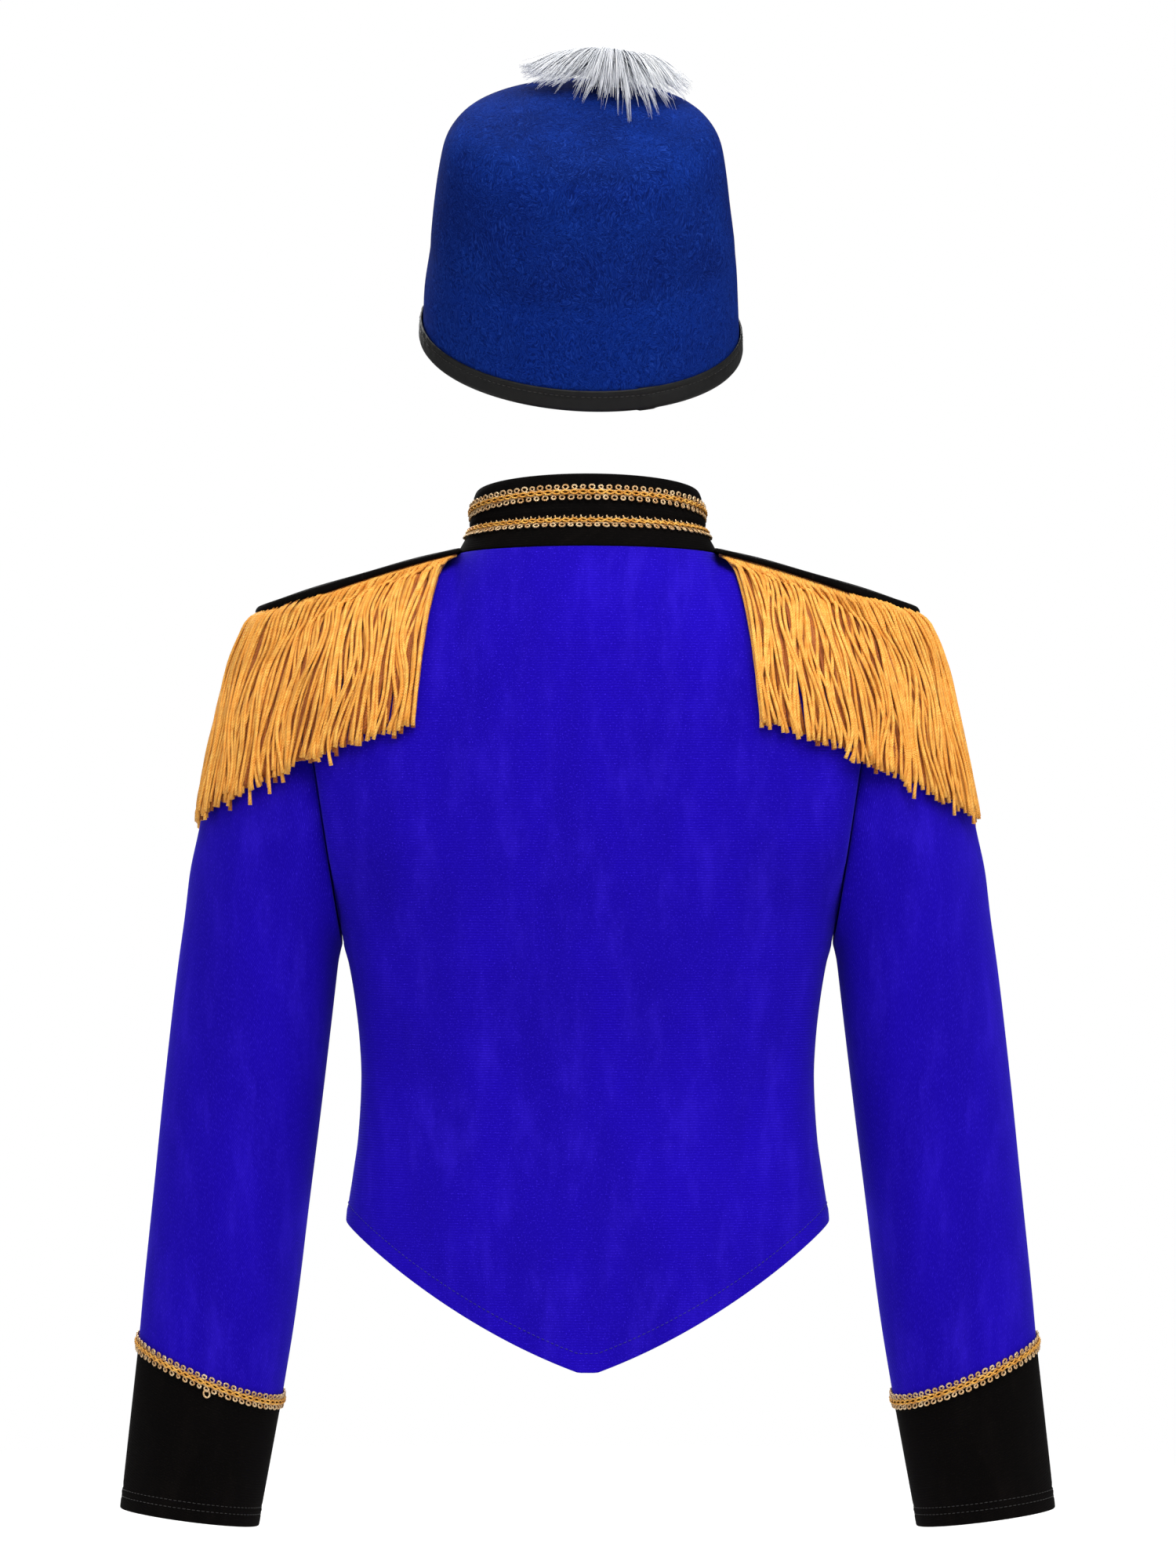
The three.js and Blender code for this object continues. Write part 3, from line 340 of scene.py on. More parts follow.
# Cubic curve through the rows of a table; each row's slope is that between its two neighbours
def alongTable(knots, rows, at):
    knots, rows = np.asarray(knots, float), np.asarray(rows, float)
    last = len(knots) - 1
    low, high = np.maximum(np.arange(last + 1) - 1, 0), np.minimum(np.arange(last + 1) + 1, last)
    slopes = (rows[high] - rows[low]) / (knots[high] - knots[low])[:, None]
    i = np.clip(np.searchsorted(knots, at, side="right") - 1, 0, last - 1)
    span = (knots[i + 1] - knots[i])[..., None]
    t = np.clip((np.asarray(at) - knots[i])[..., None] / span, 0, 1)
    return ((2 * t**3 - 3 * t**2 + 1) * rows[i] + (t**3 - 2 * t**2 + t) * span * slopes[i]
            + (3 * t**2 - 2 * t**3) * rows[i + 1] + (t**3 - t**2) * span * slopes[i + 1])


# Six times the volume inside the faces, by fans of triangles; below zero where they face inwards
def signedVolume(points, faces):
    first = points[faces[:, 0]]
    return sum(np.einsum("ij,ij->", first, np.cross(points[faces[:, k]], points[faces[:, k + 1]]))
               for k in range(1, faces.shape[1] - 1))


# One mesh object from points in mm and arrays of faces, each with its own number of corners
def makePiece(name, points, faceArrays, material, mapName, uv, stands=()):
    if sum(signedVolume(points, faces) for faces in faceArrays) < 0:
        faceArrays = [faces[:, ::-1] for faces in faceArrays]
    corners = np.concatenate([faces.ravel() for faces in faceArrays]).astype(np.int32)
    sizes = np.concatenate([np.full(len(faces), faces.shape[1]) for faces in faceArrays])
    starts = np.concatenate([[0], np.cumsum(sizes)[:-1]]).astype(np.int32)
    mesh = bpy.data.meshes.new(name)
    mesh.vertices.add(len(points))
    mesh.vertices.foreach_set("co", (points * metres).ravel())
    mesh.loops.add(len(corners))
    mesh.loops.foreach_set("vertex_index", corners)
    mesh.polygons.add(len(starts))
    mesh.polygons.foreach_set("loop_start", starts)
    mesh.polygons.foreach_set("use_smooth", np.ones(len(starts), bool))
    layer = mesh.uv_layers.new(name=mapName)
    layer.data.foreach_set("uv", uv[corners].ravel())
    mesh.update()
    mesh.validate()
    mesh.materials.append(material)
    piece = newObject(name, mesh)
    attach(piece, "root")
    if stands:
        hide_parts(*stands)
    return piece


# A second material for a run of the piece's faces
def giveSecond(piece, material, first, last):
    piece.data.materials.append(material)
    which = np.zeros(len(piece.data.polygons), np.int32)
    which[first:last] = 1
    piece.data.polygons.foreach_set("material_index", which)


# Points of the right side (1), or mirrored to the left side (-1)
def onSide(points, side):
    return points * np.array([side, 1, 1])


def closeUp(line):
    return np.concatenate([line, line[:1]])


# Angles of a whole turn in equal steps, without its last
def wholeTurn(count):
    return np.arange(count) * 2 * np.pi / count


# A table's three columns at places along it
def between(at, length, rows):
    return np.stack([np.interp(at, length, rows[:, k]) for k in range(3)], -1)


# How deep an edge of the given radius rolls in at a distance from it
def rolledIn(distance, radius, depth):
    return depth * (1 - quarterRound(distance / radius))


# Outward normals of a grid: its two directions crossed, turned away from the given middle
def gridNormals(grid, middle, wrapped=False):
    along = np.roll(grid, -1, 1) - np.roll(grid, 1, 1) if wrapped else np.gradient(grid, axis=1)
    normals = unit(np.cross(along, np.gradient(grid, axis=0)))
    if np.sum(normals * (grid - middle)) < 0:
        normals = -normals
    return normals


# Distance in mm of each grid point from the grid's first row or column, along the grid
def runLength(grid, axis):
    steps = np.linalg.norm(np.diff(grid, axis=axis), axis=-1)
    start = np.zeros_like(np.take(steps, [0], axis=axis))
    return np.concatenate([start, np.cumsum(steps, axis=axis)], axis=axis)


# Numbers of a grid's points, and the quads between them; wrapped joins its last column to its first
def gridIndex(grid):
    rows, columns = grid.shape[:2]
    return np.arange(rows * columns).reshape(rows, columns)


def gridQuads(index, wrapped=False):
    left, right = (index, np.roll(index, -1, 1)) if wrapped else (index[:, :-1], index[:, 1:])
    return np.stack([left[:-1], right[:-1], right[1:], left[1:]], -1).reshape(-1, 4)


# Closed wall between an outer and an inner grid: both grids' faces and a strip round the open edges
def wallFaces(index, wrapped):
    layer = index.size
    strip = lambda one, other: np.stack([one, other, other + layer, one + layer], -1)
    left, right = (index, np.roll(index, -1, 1)) if wrapped else (index[:, :-1], index[:, 1:])
    outer = gridQuads(index, wrapped)
    faces = [outer, outer[:, ::-1] + layer, strip(right[0], left[0]), strip(left[-1], right[-1])]
    if not wrapped:
        faces.append(strip(index[:-1, 0], index[1:, 0]))
        faces.append(strip(index[1:, -1], index[:-1, -1]))
    return np.concatenate(faces)


def makeWall(name, outer, inner, wrapped, uv, material, stands):
    faces = wallFaces(gridIndex(outer), wrapped)
    points = np.concatenate([outer.reshape(-1, 3), inner.reshape(-1, 3)])
    both = np.concatenate([uv.reshape(-1, 2), uv.reshape(-1, 2)]) * metres
    return makePiece(name, points, [faces], material, "clothMap", both, stands)


# Soft ridges and troughs, given one by one: each is height x exp(-(distance to its line / width)^2)
def creaseHeight(across, along, creases):
    total = np.zeros(np.broadcast(across, along).shape)
    for (startA, startB), (endA, endB), width, height in creases:
        runA, runB = endA - startA, endB - startB
        share = np.clip(((across - startA) * runA + (along - startB) * runB) / (runA**2 + runB**2), 0, 1)
        away = np.hypot(across - startA - share * runA, along - startB - share * runB)
        total += height * np.exp(-(away / width) ** 2) * (0.55 + 0.45 * np.sin(np.pi * share))
    return total


# Tubes along many paths at once: a ring of points round each path point. Edges is the ring's number of points, facing
# the side that it starts from; flat squashes the ring, and twist turns it along the path.
def tubes(paths, radii, edges, facing, flat=1.0, twist=0.0, closed=False):
    count, steps = paths.shape[:2]
    if closed:
        tangent = unit(np.roll(paths, -1, 1) - np.roll(paths, 1, 1))
    else:
        tangent = unit(np.gradient(paths, axis=1))
    side = unit(np.cross(tangent, np.broadcast_to(facing, paths.shape)))
    out = np.cross(side, tangent)
    length = runLength(paths, 1)
    turn = wholeTurn(edges) + (length * twist)[..., None]
    radii = np.broadcast_to(radii, (count, steps))[..., None, None]
    ring = np.cos(turn)[..., None] * side[:, :, None] + flat * np.sin(turn)[..., None] * out[:, :, None]
    points = (paths[:, :, None] + radii * ring).reshape(-1, 3)
    index = np.arange(count * steps * edges).reshape(count, steps, edges)
    near, far = (index, np.roll(index, -1, 1)) if closed else (index[:, :-1], index[:, 1:])
    quads = np.stack([near, np.roll(near, -1, 2), np.roll(far, -1, 2), far], -1).reshape(-1, 4)
    # the whole part of the map's first number is the strand's own, so that each may have its tone
    around = np.arange(edges) / edges + np.arange(count)[:, None, None] + np.zeros((count, steps, edges))
    uv = np.stack([around, np.broadcast_to(length[..., None] * metres, around.shape)], -1).reshape(-1, 2)
    if closed:
        return points, [quads], uv
    return points, [quads, index[:, 0, ::-1], index[:, -1]], uv


# Several lots of tubes as one lot: the faces of each are moved on by the points before it
def joined(lots):
    points, uv, faces, start = [], [], {}, 0
    for lotPoints, lotFaces, lotUv in lots:
        points.append(lotPoints)
        uv.append(lotUv)
        for array in lotFaces:
            faces.setdefault(array.shape[1], []).append(array + start)
        start += len(lotPoints)
    return np.concatenate(points), [np.concatenate(arrays) for arrays in faces.values()], np.concatenate(uv)


# One piece of yarn from lots of tubes
def makeYarn(name, lots, material, stands=()):
    points, faces, uv = joined(lots)
    return makePiece(name, points, faces, material, "threadMap", uv, stands)


# A row of sewn stitches on a line: each is a short thread that arches out of the cloth by a sine
def stitchTubes(line, normals, pitch, length, radius):
    run = runLength(line, 0)
    at = np.arange(pitch / 2, run[-1] - pitch / 2, pitch)
    middle, out = between(at, run, line), between(at, run, normals)
    along = unit(np.gradient(middle, axis=0))
    share = np.linspace(-1, 1, 5)[None, :, None]
    lift = np.cos(share * np.pi / 2) * radius * 1.2 - radius * 0.5
    paths = middle[:, None] + along[:, None] * share * length / 2 + out[:, None] * lift
    return tubes(paths, radius * np.array([0.6, 1, 1, 1, 0.6]), 5, out[:, None])


# The line on a grid that runs at one distance from its first row
def lineOnGrid(grid, normals, distance):
    run = runLength(grid, 0)
    row = np.clip((run < distance).sum(0) - 1, 0, len(grid) - 2)
    column = np.arange(grid.shape[1])
    gap = np.maximum(run[row + 1, column] - run[row, column], 1e-6)
    share = ((distance - run[row, column]) / gap)[:, None]
    pick = lambda values: lerp(values[row, column], values[row + 1, column], share)
    return pick(grid), unit(pick(normals))


print("bodice")
bodice = {
    "wall": 1.4,
    "gap": 0.3,
    # height, half width, depth behind, depth in front
    "sections": [
        (-445, 129.0, 86, 80), (-360, 129.0, 80, 79), (-336, 125.8, 77, 77), (-315, 122.9, 74, 75),
        (-284, 121.2, 71, 73), (-262, 122.2, 72, 74), (-241, 124.6, 75, 77), (-222, 127.8, 78, 79),
        (-210, 130.7, 79, 80), (-160, 130.7, 83, 84), (-100, 130.7, 84, 82), (-40, 130.7, 82, 77),
        (20, 130.7, 80, 74),
    ],
    "roundness": 2.6,  # power of the plan's superellipse
    "planSize": (130.7, 80),  # half width and depth on which the plan's places are spaced
    "shoulderRoll": 80,  # radius with which the chest rolls over to the shoulder
    "underarm": (130.7, -210), "armholeDepth": 54,
    "shoulderStart": (69, -3.3), "shoulderEnd": 157,  # x and z at the neck, x at the armhole
    "shoulderFall": 0.2, "shoulderBend": 0.0017,  # drop by the distance out, and by its square
    "hemSide": -360, "hemTip": -435.8, "hemTipHalf": 5,
    "hemStraight": 0.6,  # share of a straight line in the hem's V, the rest is a parabola
    "frontLap": 12, "lapLift": 1.7, "lapFade": 0.22,
    "hemDepth": 10.5,
    "seamRoll": (2.6, 1.05), "foldRoll": (1.3, 0.65),  # radius and depth of the roll into a seam and at a fold
    "columnStep": 2.3,
    "stitch": (2.7, 2.0, 0.24),  # pitch, length and radius of each stitch
    # start, end, width and height of each soft crease on the back, seen from behind
    "backCreases": [
        ((-120, -215), (-64, -285), 11, 1.3), ((118, -205), (74, -300), 12, 1.1),
        ((-112, -236), (-70, -330), 10, -0.9), ((110, -232), (80, -340), 11, -0.8),
        ((-52, -262), (-60, -392), 15, 0.9), ((-14, -300), (-8, -424), 13, -0.7),
        ((30, -250), (36, -402), 16, 0.8), ((66, -290), (70, -380), 12, -0.7),
        ((-104, -60), (-92, -180), 14, 1.0), ((102, -70), (96, -190), 13, 1.1),
        ((-58, -14), (-30, -60), 14, -0.8), ((54, -12), (36, -54), 13, -0.7),
        ((-40, -110), (-36, -230), 26, 0.8), ((22, -90), (16, -240), 28, -0.7),
    ],
    "frontCreases": [
        ((-112, -212), (-58, -292), 12, 1.2), ((114, -208), (60, -286), 11, 1.3),
        ((-90, -262), (-82, -350), 13, -0.8), ((88, -250), (92, -352), 12, -0.9),
        ((-44, -120), (-40, -330), 20, 0.8), ((46, -90), (38, -300), 22, 0.7),
        ((-100, -60), (-90, -180), 14, 1.0), ((104, -66), (92, -170), 13, 0.9),
    ],
}
neck = {
    # height behind, at the side and in front, half width, depth; from the neck seam to the top edge
    "rings": [
        (0.6, -3.2, -8.0, 70.0, 60.0), (10.2, 5.6, 1.0, 65.0, 55.0), (17.0, 10.6, 4.2, 61.0, 50.5),
        (24.8, 15.6, 6.4, 62.0, 51.5), (35.4, 24.8, 13.8, 61.3, 49.5), (39.2, 29.8, 19.2, 59.7, 46.0),
    ],
    "opening": 0.6, "radius": 61,
    "columns": 200,
}
bodyTable = np.array(bodice["sections"], float)


def bodyAt(z):
    return alongTable(bodyTable[:, 0], bodyTable[:, 1:], z)


def shoulderHeight(x):
    out = np.maximum(np.abs(x) - bodice["shoulderStart"][0], 0)
    return bodice["shoulderStart"][1] - bodice["shoulderFall"] * out - bodice["shoulderBend"] * out**2


# Top edge of a panel: the neck seam's ellipse inside the shoulder's start, the shoulder seam outside it
def panelTop(x, face):
    seamBack, _, seamFront, width, depth = neck["rings"][0]
    cosine = np.sqrt(np.clip(1 - (x / width) ** 2, 0, 1))
    inside = np.abs(x) < width
    inner = lerp(bodice["shoulderStart"][1], seamBack if face < 0 else seamFront, cosine)
    return np.where(inside, inner, shoulderHeight(x)), np.where(inside, depth * cosine, 0)


def hemHeight(x, face):
    if face > 0:
        return np.full(np.shape(x), float(bodice["hemSide"]))
    half = bodice["hemTipHalf"]
    share = (np.maximum(np.abs(x), half) - half) / (bodyTable[0, 1] - half)
    straight = bodice["hemStraight"]
    rise = bodice["hemSide"] - bodice["hemTip"]
    return bodice["hemTip"] + rise * (straight * share + (1 - straight) * share**2)


# Outer surface of the bodice: a superellipse in plan from hem to underarm, then rolled over to the shoulder and the
# neck while its side edge follows the armhole's loop
def bodiceGrid(across, bulge, up, face):
    underX, underZ = bodice["underarm"]
    column = 1 if face < 0 else 2
    topZ, topY = panelTop(across * bodice["shoulderEnd"], face)
    turn = np.pi * (2 - np.maximum(up, 1))
    rise = (1 + np.cos(turn)) / 2
    lowZ = lerp(hemHeight(across * bodyTable[0, 1], face), underZ, np.minimum(up, 1))
    z = np.where(up <= 1, lowZ, lerp(underZ, topZ, rise))
    sizes = bodyAt(z)
    x = across * np.where(up <= 1, sizes[..., 0], lerp(underX, bodice["shoulderEnd"], rise))
    depthAtTop = np.maximum(bulge * bodyAt(topZ)[..., column], 1e-6)
    neckShare = np.clip(topY / depthAtTop, 0, 1)
    drop = bodice["shoulderRoll"] * (1 - np.sqrt(1 - neckShare**2))
    roll = quarterRound(np.maximum((topZ - z + drop) / bodice["shoulderRoll"], 0))
    edgeOnly = lerp(ease(rise, 0, 0.3), 1, (1 - bulge) ** 5)
    high = bulge * sizes[..., column] * roll + (1 - bulge) * bodice["armholeDepth"] * np.sin(turn) * edgeOnly
    depth = np.where(up <= 1, bulge * sizes[..., column], high)
    return np.stack([x, face * depth, z], -1)


# Shares of the half width and of the depth at places spaced evenly along the plan's curve, in mm from its middle
def planPlaces(arcs):
    turn = np.linspace(0, np.pi / 2, 6001)
    power = 2 / bodice["roundness"]
    share, bulge = np.sin(turn) ** power, np.clip(np.cos(turn), 0, 1) ** power
    width, depth = bodice["planSize"]
    length = np.concatenate([[0], np.cumsum(np.hypot(width * np.diff(share), depth * np.diff(bulge)))])
    whole = length[-1]
    at = np.minimum(np.abs(arcs), 1) * whole
    return np.sign(arcs) * np.interp(at, length, share), np.interp(at, length, bulge), whole


# Keeps a panel on its own side of the side, shoulder and armhole seams
def keepInSeams(grid, up, face):
    grid = grid.copy()
    half = bodice["gap"] / 2
    grid[..., 1] = face * np.maximum(face * grid[..., 1], half)
    underX, underZ = bodice["underarm"]
    along = np.array([bodice["shoulderEnd"] - underX, shoulderHeight(bodice["shoulderEnd"]) - underZ])
    normal = np.array([along[1], -along[0]]) / np.hypot(*along)
    sign = np.sign(grid[..., 0])
    over = (sign * grid[..., 0] - underX) * normal[0] + (grid[..., 2] - underZ) * normal[1]
    excess = np.where(up >= 1, np.maximum(over + half, 0), 0)
    grid[..., 0] -= sign * normal[0] * excess
    grid[..., 2] -= normal[1] * excess
    return grid


# Distances of the grids' first rows and columns from their edges: in mm, and as shares of the height
fineEdge = np.array([0, 0.35, 0.8, 1.4, 2.1, 3.0, 4.2])
hemRows = np.array([0, 0.0018, 0.004, 0.007, 0.011, 0.016, 0.023, 0.032])
topRows = np.array([0.03, 0.019, 0.011, 0.006, 0.0025, 0])


# One panel as a wall. It rolls in at its seams, its hem is turned up and sewn, and soft creases lie across it.
def bodicePanel(name, arcs, face, creases, lift, seams):
    across, bulge, _ = planPlaces(arcs)
    rowsLow = np.concatenate([hemRows, np.linspace(0.045, 0.985, 50), [1]])
    rowsHigh = np.concatenate([1 + np.linspace(0, 0.965, 48)[1:], 2 - topRows])
    up = np.concatenate([rowsLow, rowsHigh])[:, None]
    across, bulge = across[None, :], bulge[None, :]
    base = bodiceGrid(across, bulge, up, face)
    middle = np.array([0, 0, -200])
    normals = gridNormals(base, middle)
    fromLeft = runLength(base, 1)
    fromRight = fromLeft[:, -1:] - fromLeft
    fromHem = runLength(base, 0)
    fromTop = fromHem[-1:] - fromHem
    into = rolledIn(fromTop, *bodice["seamRoll"])
    for sewn, distance in zip(seams, (fromLeft, fromRight)):
        if sewn:
            into = np.maximum(into, rolledIn(distance, *bodice["seamRoll"]))
    edges = np.minimum(fromTop, np.minimum(fromLeft, fromRight))
    soft = creaseHeight(base[..., 0], base[..., 2], creases) * ease(edges, 2, 24) * ease(fromHem, 6, 26)
    # the turned-up hem stands a little proud below its stitch line, which pulls the cloth in
    hem = 0.35 * ease(fromHem, bodice["hemDepth"] + 0.4, bodice["hemDepth"] - 1.6)
    hem -= 0.5 * np.exp(-((fromHem - bodice["hemDepth"]) / 1.1) ** 2)
    fold = rolledIn(fromHem, *bodice["foldRoll"])
    lifted = base + normals * (lift(across) + soft + hem)[..., None]
    outer = keepInSeams(lifted - normals * (into + fold)[..., None], up, face)
    thick = bodice["wall"] + 1.1 * ease(fromHem, bodice["hemDepth"] + 0.6, bodice["hemDepth"] - 0.6)
    inner = keepInSeams(lifted - normals * (thick - fold)[..., None], up, face)
    uv = np.stack([fromLeft - fromLeft[:, fromLeft.shape[1] // 2][:, None], base[..., 2] + 0 * fromLeft], -1)
    makeWall(name + "Cloth", outer, inner, False, uv, blueVelvet, [name])
    return outer, gridNormals(outer, middle)


_, _, halfPlan = planPlaces(np.array([0.0]))
step = bodice["columnStep"]
halfArcs = np.concatenate([fineEdge, np.arange(fineEdge[-1] + step, halfPlan - step / 2, step)])
halfShare = (halfPlan - halfArcs) / halfPlan  # 1 at the side seam, towards 0 in the middle
backArcs = np.concatenate([-halfShare, [0.0], halfShare[::-1]])
lapArcs = np.concatenate([fineEdge[1:], [6, 8, 10]])
lapShare, lapArc = bodice["frontLap"] / bodyTable[0, 1], bodice["frontLap"] / halfPlan
rightArcs = np.concatenate([[-lapArc], -lapArc + lapArcs / halfPlan, [0.0], halfShare[::-1]])


# The left front rises over the right one before their lap
def lapLift(across):
    return bodice["lapLift"] * np.clip((across + bodice["lapFade"] + lapShare) / bodice["lapFade"], 0, 1)


hemThread = []
for panelName, arcs, face, creases, lift, seams in (
        ("back_panel", backArcs, -1, bodice["backCreases"], np.zeros_like, (True, True)),
        ("front_right", rightArcs, 1, bodice["frontCreases"], np.zeros_like, (False, True)),
        ("front_left", -rightArcs[::-1], 1, bodice["frontCreases"], lapLift, (True, False))):
    outer, normals = bodicePanel(panelName, arcs, face, creases, lift, seams)
    line, out = lineOnGrid(outer, normals, bodice["hemDepth"])
    hemThread.append(stitchTubes(line[4:-4], out[4:-4], *bodice["stitch"]))
makeYarn("hem_stitches", hemThread, blueThread)

print("sleeves and cuffs")
sleeve = {
    # inner x and z, outer x and z, half depth, forward, lean in degrees: from the armhole to the cuff's seam
    "rings": [
        (130.7, -210.0, 157.0, -34.1, 54.0, 0, 0), (131.1, -211.2, 168.0, -42.0, 55.5, 0, 0),
        (131.5, -212.6, 180.0, -57.0, 55.5, 0, 0), (132.0, -214.4, 190.0, -78.0, 54.0, 0, 0),
        (132.6, -217.0, 198.0, -103.0, 52.0, 0.3, 0), (133.4, -221.0, 205.0, -134.0, 49.5, 0.8, 0),
        (134.8, -232.0, 212.0, -174.0, 46.5, 1.6, 0), (138.0, -259.0, 219.4, -222.0, 44.0, 3.0, 0),
        (143.6, -305.0, 226.6, -283.0, 42.0, 5.5, 1), (149.6, -352.0, 232.6, -341.0, 40.0, 8.5, 3),
        (156.8, -410.0, 238.0, -392.0, 38.0, 12, 5), (164.4, -456.5, 241.0, -424.6, 36.5, 14, 7.5),
    ],
    "columns": 96, "rows": 110,
    "degree": 0.72, "radian": 42,  # mm round the sleeve, for its creases and for its map
    # start, end, width and height on the sleeve: angle from the inner side in degrees, and the share of its length
    "creases": [
        ((20, 0.28), (60, 0.36), 9, 1.5), ((350, 0.34), (395, 0.42), 9, 1.4), ((40, 0.46), (4, 0.52), 9, -1.2),
        ((325, 0.5), (375, 0.57), 10, 1.2), ((215, 0.16), (222, 0.62), 11, 1.0), ((262, 0.2), (258, 0.74), 12, -0.8),
        ((300, 0.3), (292, 0.66), 11, 0.8), ((150, 0.4), (160, 0.86), 11, 0.9), ((100, 0.3), (96, 0.7), 12, -0.8),
        ((238, 0.7), (230, 0.97), 10, 0.8), ((285, 0.76), (300, 0.98), 9, 0.7), ((60, 0.66), (52, 0.95), 10, 0.8),
    ],
}
cuff = {
    "rings": [
        sleeve["rings"][-1], (168.6, -479.2, 244.4, -454.7, 35.8, 15, 5),
        (172.8, -502.0, 247.8, -484.8, 35.0, 16, 2.5), (177.0, -524.8, 251.2, -515.0, 34.5, 17, 0),
    ],
    "columns": 96, "rows": 48,
    "stitchLines": (7.1, 10.9), "stitch": (2.6, 1.9, 0.22),
    "creases": [
        ((230, 0.1), (236, 0.8), 8, 0.7), ((285, 0.2), (278, 0.9), 9, -0.6), ((120, 0.2), (110, 0.8), 9, 0.6),
        ((30, 0.1), (36, 0.7), 8, 0.6),
    ],
}


# Ellipses carried along a table of rings: middle + across x cos + through x sin, where a ring's lean tips it
def sleeveFrames(rings, at):
    row = alongTable(np.arange(len(rings)), rings, at)
    inner = np.stack([row[..., 0], row[..., 5], row[..., 1]], -1)
    outer = np.stack([row[..., 2], row[..., 5], row[..., 3]], -1)
    across = unit(outer - inner)
    away = np.stack([across[..., 2], np.zeros_like(across[..., 0]), -across[..., 0]], -1)
    lean = np.radians(row[..., 6])[..., None]
    through = np.cos(lean) * np.array([0, 1, 0]) - away * np.sin(lean)
    width = np.linalg.norm(outer - inner, axis=-1, keepdims=True) / 2
    return (inner + outer) / 2, across * width, through * row[..., 4:5], away


def sleeveGrid(rings, at, turn):
    middle, across, through, away = sleeveFrames(rings, at)
    cosine, sine = np.cos(turn)[None, :, None], np.sin(turn)[None, :, None]
    grid = middle[:, None] + across[:, None] * cosine + through[:, None] * sine
    return grid, middle[:, None], away[:, None]


# Rows of a sleeve's grid, evenly spaced along the rings' middles and close together at both ends
def tubeRows(rings, rows):
    at = np.linspace(0, len(rings) - 1, 600)
    length = runLength(sleeveFrames(rings, at)[0], 0)
    whole = length[-1]
    wanted = np.concatenate([fineEdge, np.linspace(6, whole - 6, rows - 14), (whole - fineEdge)[::-1]])
    return np.interp(wanted, length, at), whole


# A sleeve or cuff as a wall: rolled into its seams, creased, and with a turned-up end if it has a hem
def sleevePiece(name, part, side, hemDepth, material):
    at, whole = tubeRows(part["rings"], part["rows"])
    turn = wholeTurn(part["columns"])
    base, middle, away = sleeveGrid(part["rings"], at, turn)
    normals = gridNormals(base, middle, True)
    fromTop = runLength(base, 0)
    fromEnd = fromTop[-1:] - fromTop
    half = bodice["gap"] / 2
    base = base + away * (half * ease(fromTop, 3, 0))[..., None]
    if not hemDepth:
        base = base - away * (half * ease(fromEnd, 3, 0))[..., None]
    into = rolledIn(fromTop, *bodice["seamRoll"])
    length = at[:, None] / (len(part["rings"]) - 1) + 0 * turn[None]
    girth = np.degrees(turn)[None] + 0 * length
    # degrees become mm, and a crease past 360 degrees goes on at the start of the turn
    creases = [((a * sleeve["degree"], b * whole), (c * sleeve["degree"], d * whole), width, height)
               for (a, b), (c, d), width, height in part["creases"]]
    soft = sum(creaseHeight((girth + shift) * sleeve["degree"], length * whole, creases) for shift in (0, 360))
    soft = soft * ease(fromTop, 4, 30) * ease(fromEnd, 4, 26)
    thick, hem, fold = bodice["wall"] + 0 * fromEnd, 0 * fromEnd, 0 * fromEnd
    if hemDepth:
        hem = 0.3 * ease(fromEnd, hemDepth + 0.4, hemDepth - 1.6)
        for line in part["stitchLines"]:
            hem = hem - 0.4 * np.exp(-((fromEnd - line) / 0.9) ** 2)
        fold = rolledIn(fromEnd, *bodice["foldRoll"])
        thick = thick + 1.1 * ease(fromEnd, hemDepth + 0.6, hemDepth - 0.6)
    else:
        into = np.maximum(into, rolledIn(fromEnd, *bodice["seamRoll"]))
    outer = base + normals * (soft + hem - into - fold)[..., None]
    inner = base + normals * (soft + hem - thick + fold)[..., None]
    uv = np.stack([np.broadcast_to(turn[None] * sleeve["radian"], fromTop.shape), fromTop], -1)
    outer, inner = onSide(outer, side), onSide(inner, side)
    makeWall(name + "Cloth", outer, inner, True, uv, material, [name])
    return outer, gridNormals(outer, outer.mean(1, keepdims=True), True)


cuffThread = []
hemLine = cuff["stitchLines"][1]
for word, side in sides:
    sleevePiece("sleeve_" + word, sleeve, side, 0, blueVelvet)
    grid, normals = sleevePiece("cuff_" + word, cuff, side, hemLine, blackVelvet)
    for distance in cuff["stitchLines"]:
        line, out = lineOnGrid(grid[::-1], normals[::-1], distance)
        cuffThread.append(stitchTubes(closeUp(line), closeUp(out), *cuff["stitch"]))
makeYarn("cuff_stitches", cuffThread, blackThread)

print("collar")
collar = {
    "bandRows": [0, 0.012, 0.03, 0.06, 0.11, 0.18, 0.28, 0.4, 0.52, 0.64, 0.76, 0.86, 0.93, 0.97, 0.99, 1],
    "bandTrim": -0.3,
    "standRows": 30,
    "foldDrop": 3.2,  # how far the stand's fold hangs over the neck band
    "overhang": 2.1, "overhangAt": 1.8, "overhangWidth": 3.2,  # the fold's swell: height, place and width
    "yarnOval": (61.6, 51.1),  # half width and depth that the lower braid's yarn stays outside
    "upperBraid": (2.92, 3.8), "lowerBraid": (0.96, 1.84),  # edges, counted in the neck's rings
}


# Collar's surface: half width x sin and depth x cos in plan, heights eased from the side to the back or the front
def neckGrid(at, angle):
    row = alongTable(np.arange(len(neck["rings"])), neck["rings"], at)[:, None]
    sine, cosine = np.sin(angle)[None], np.cos(angle)[None]
    towards = np.where(cosine > 0, row[..., 0], row[..., 2])
    z = lerp(row[..., 1], towards, np.abs(cosine))
    return np.stack([row[..., 3] * sine, -row[..., 4] * cosine, z], -1)


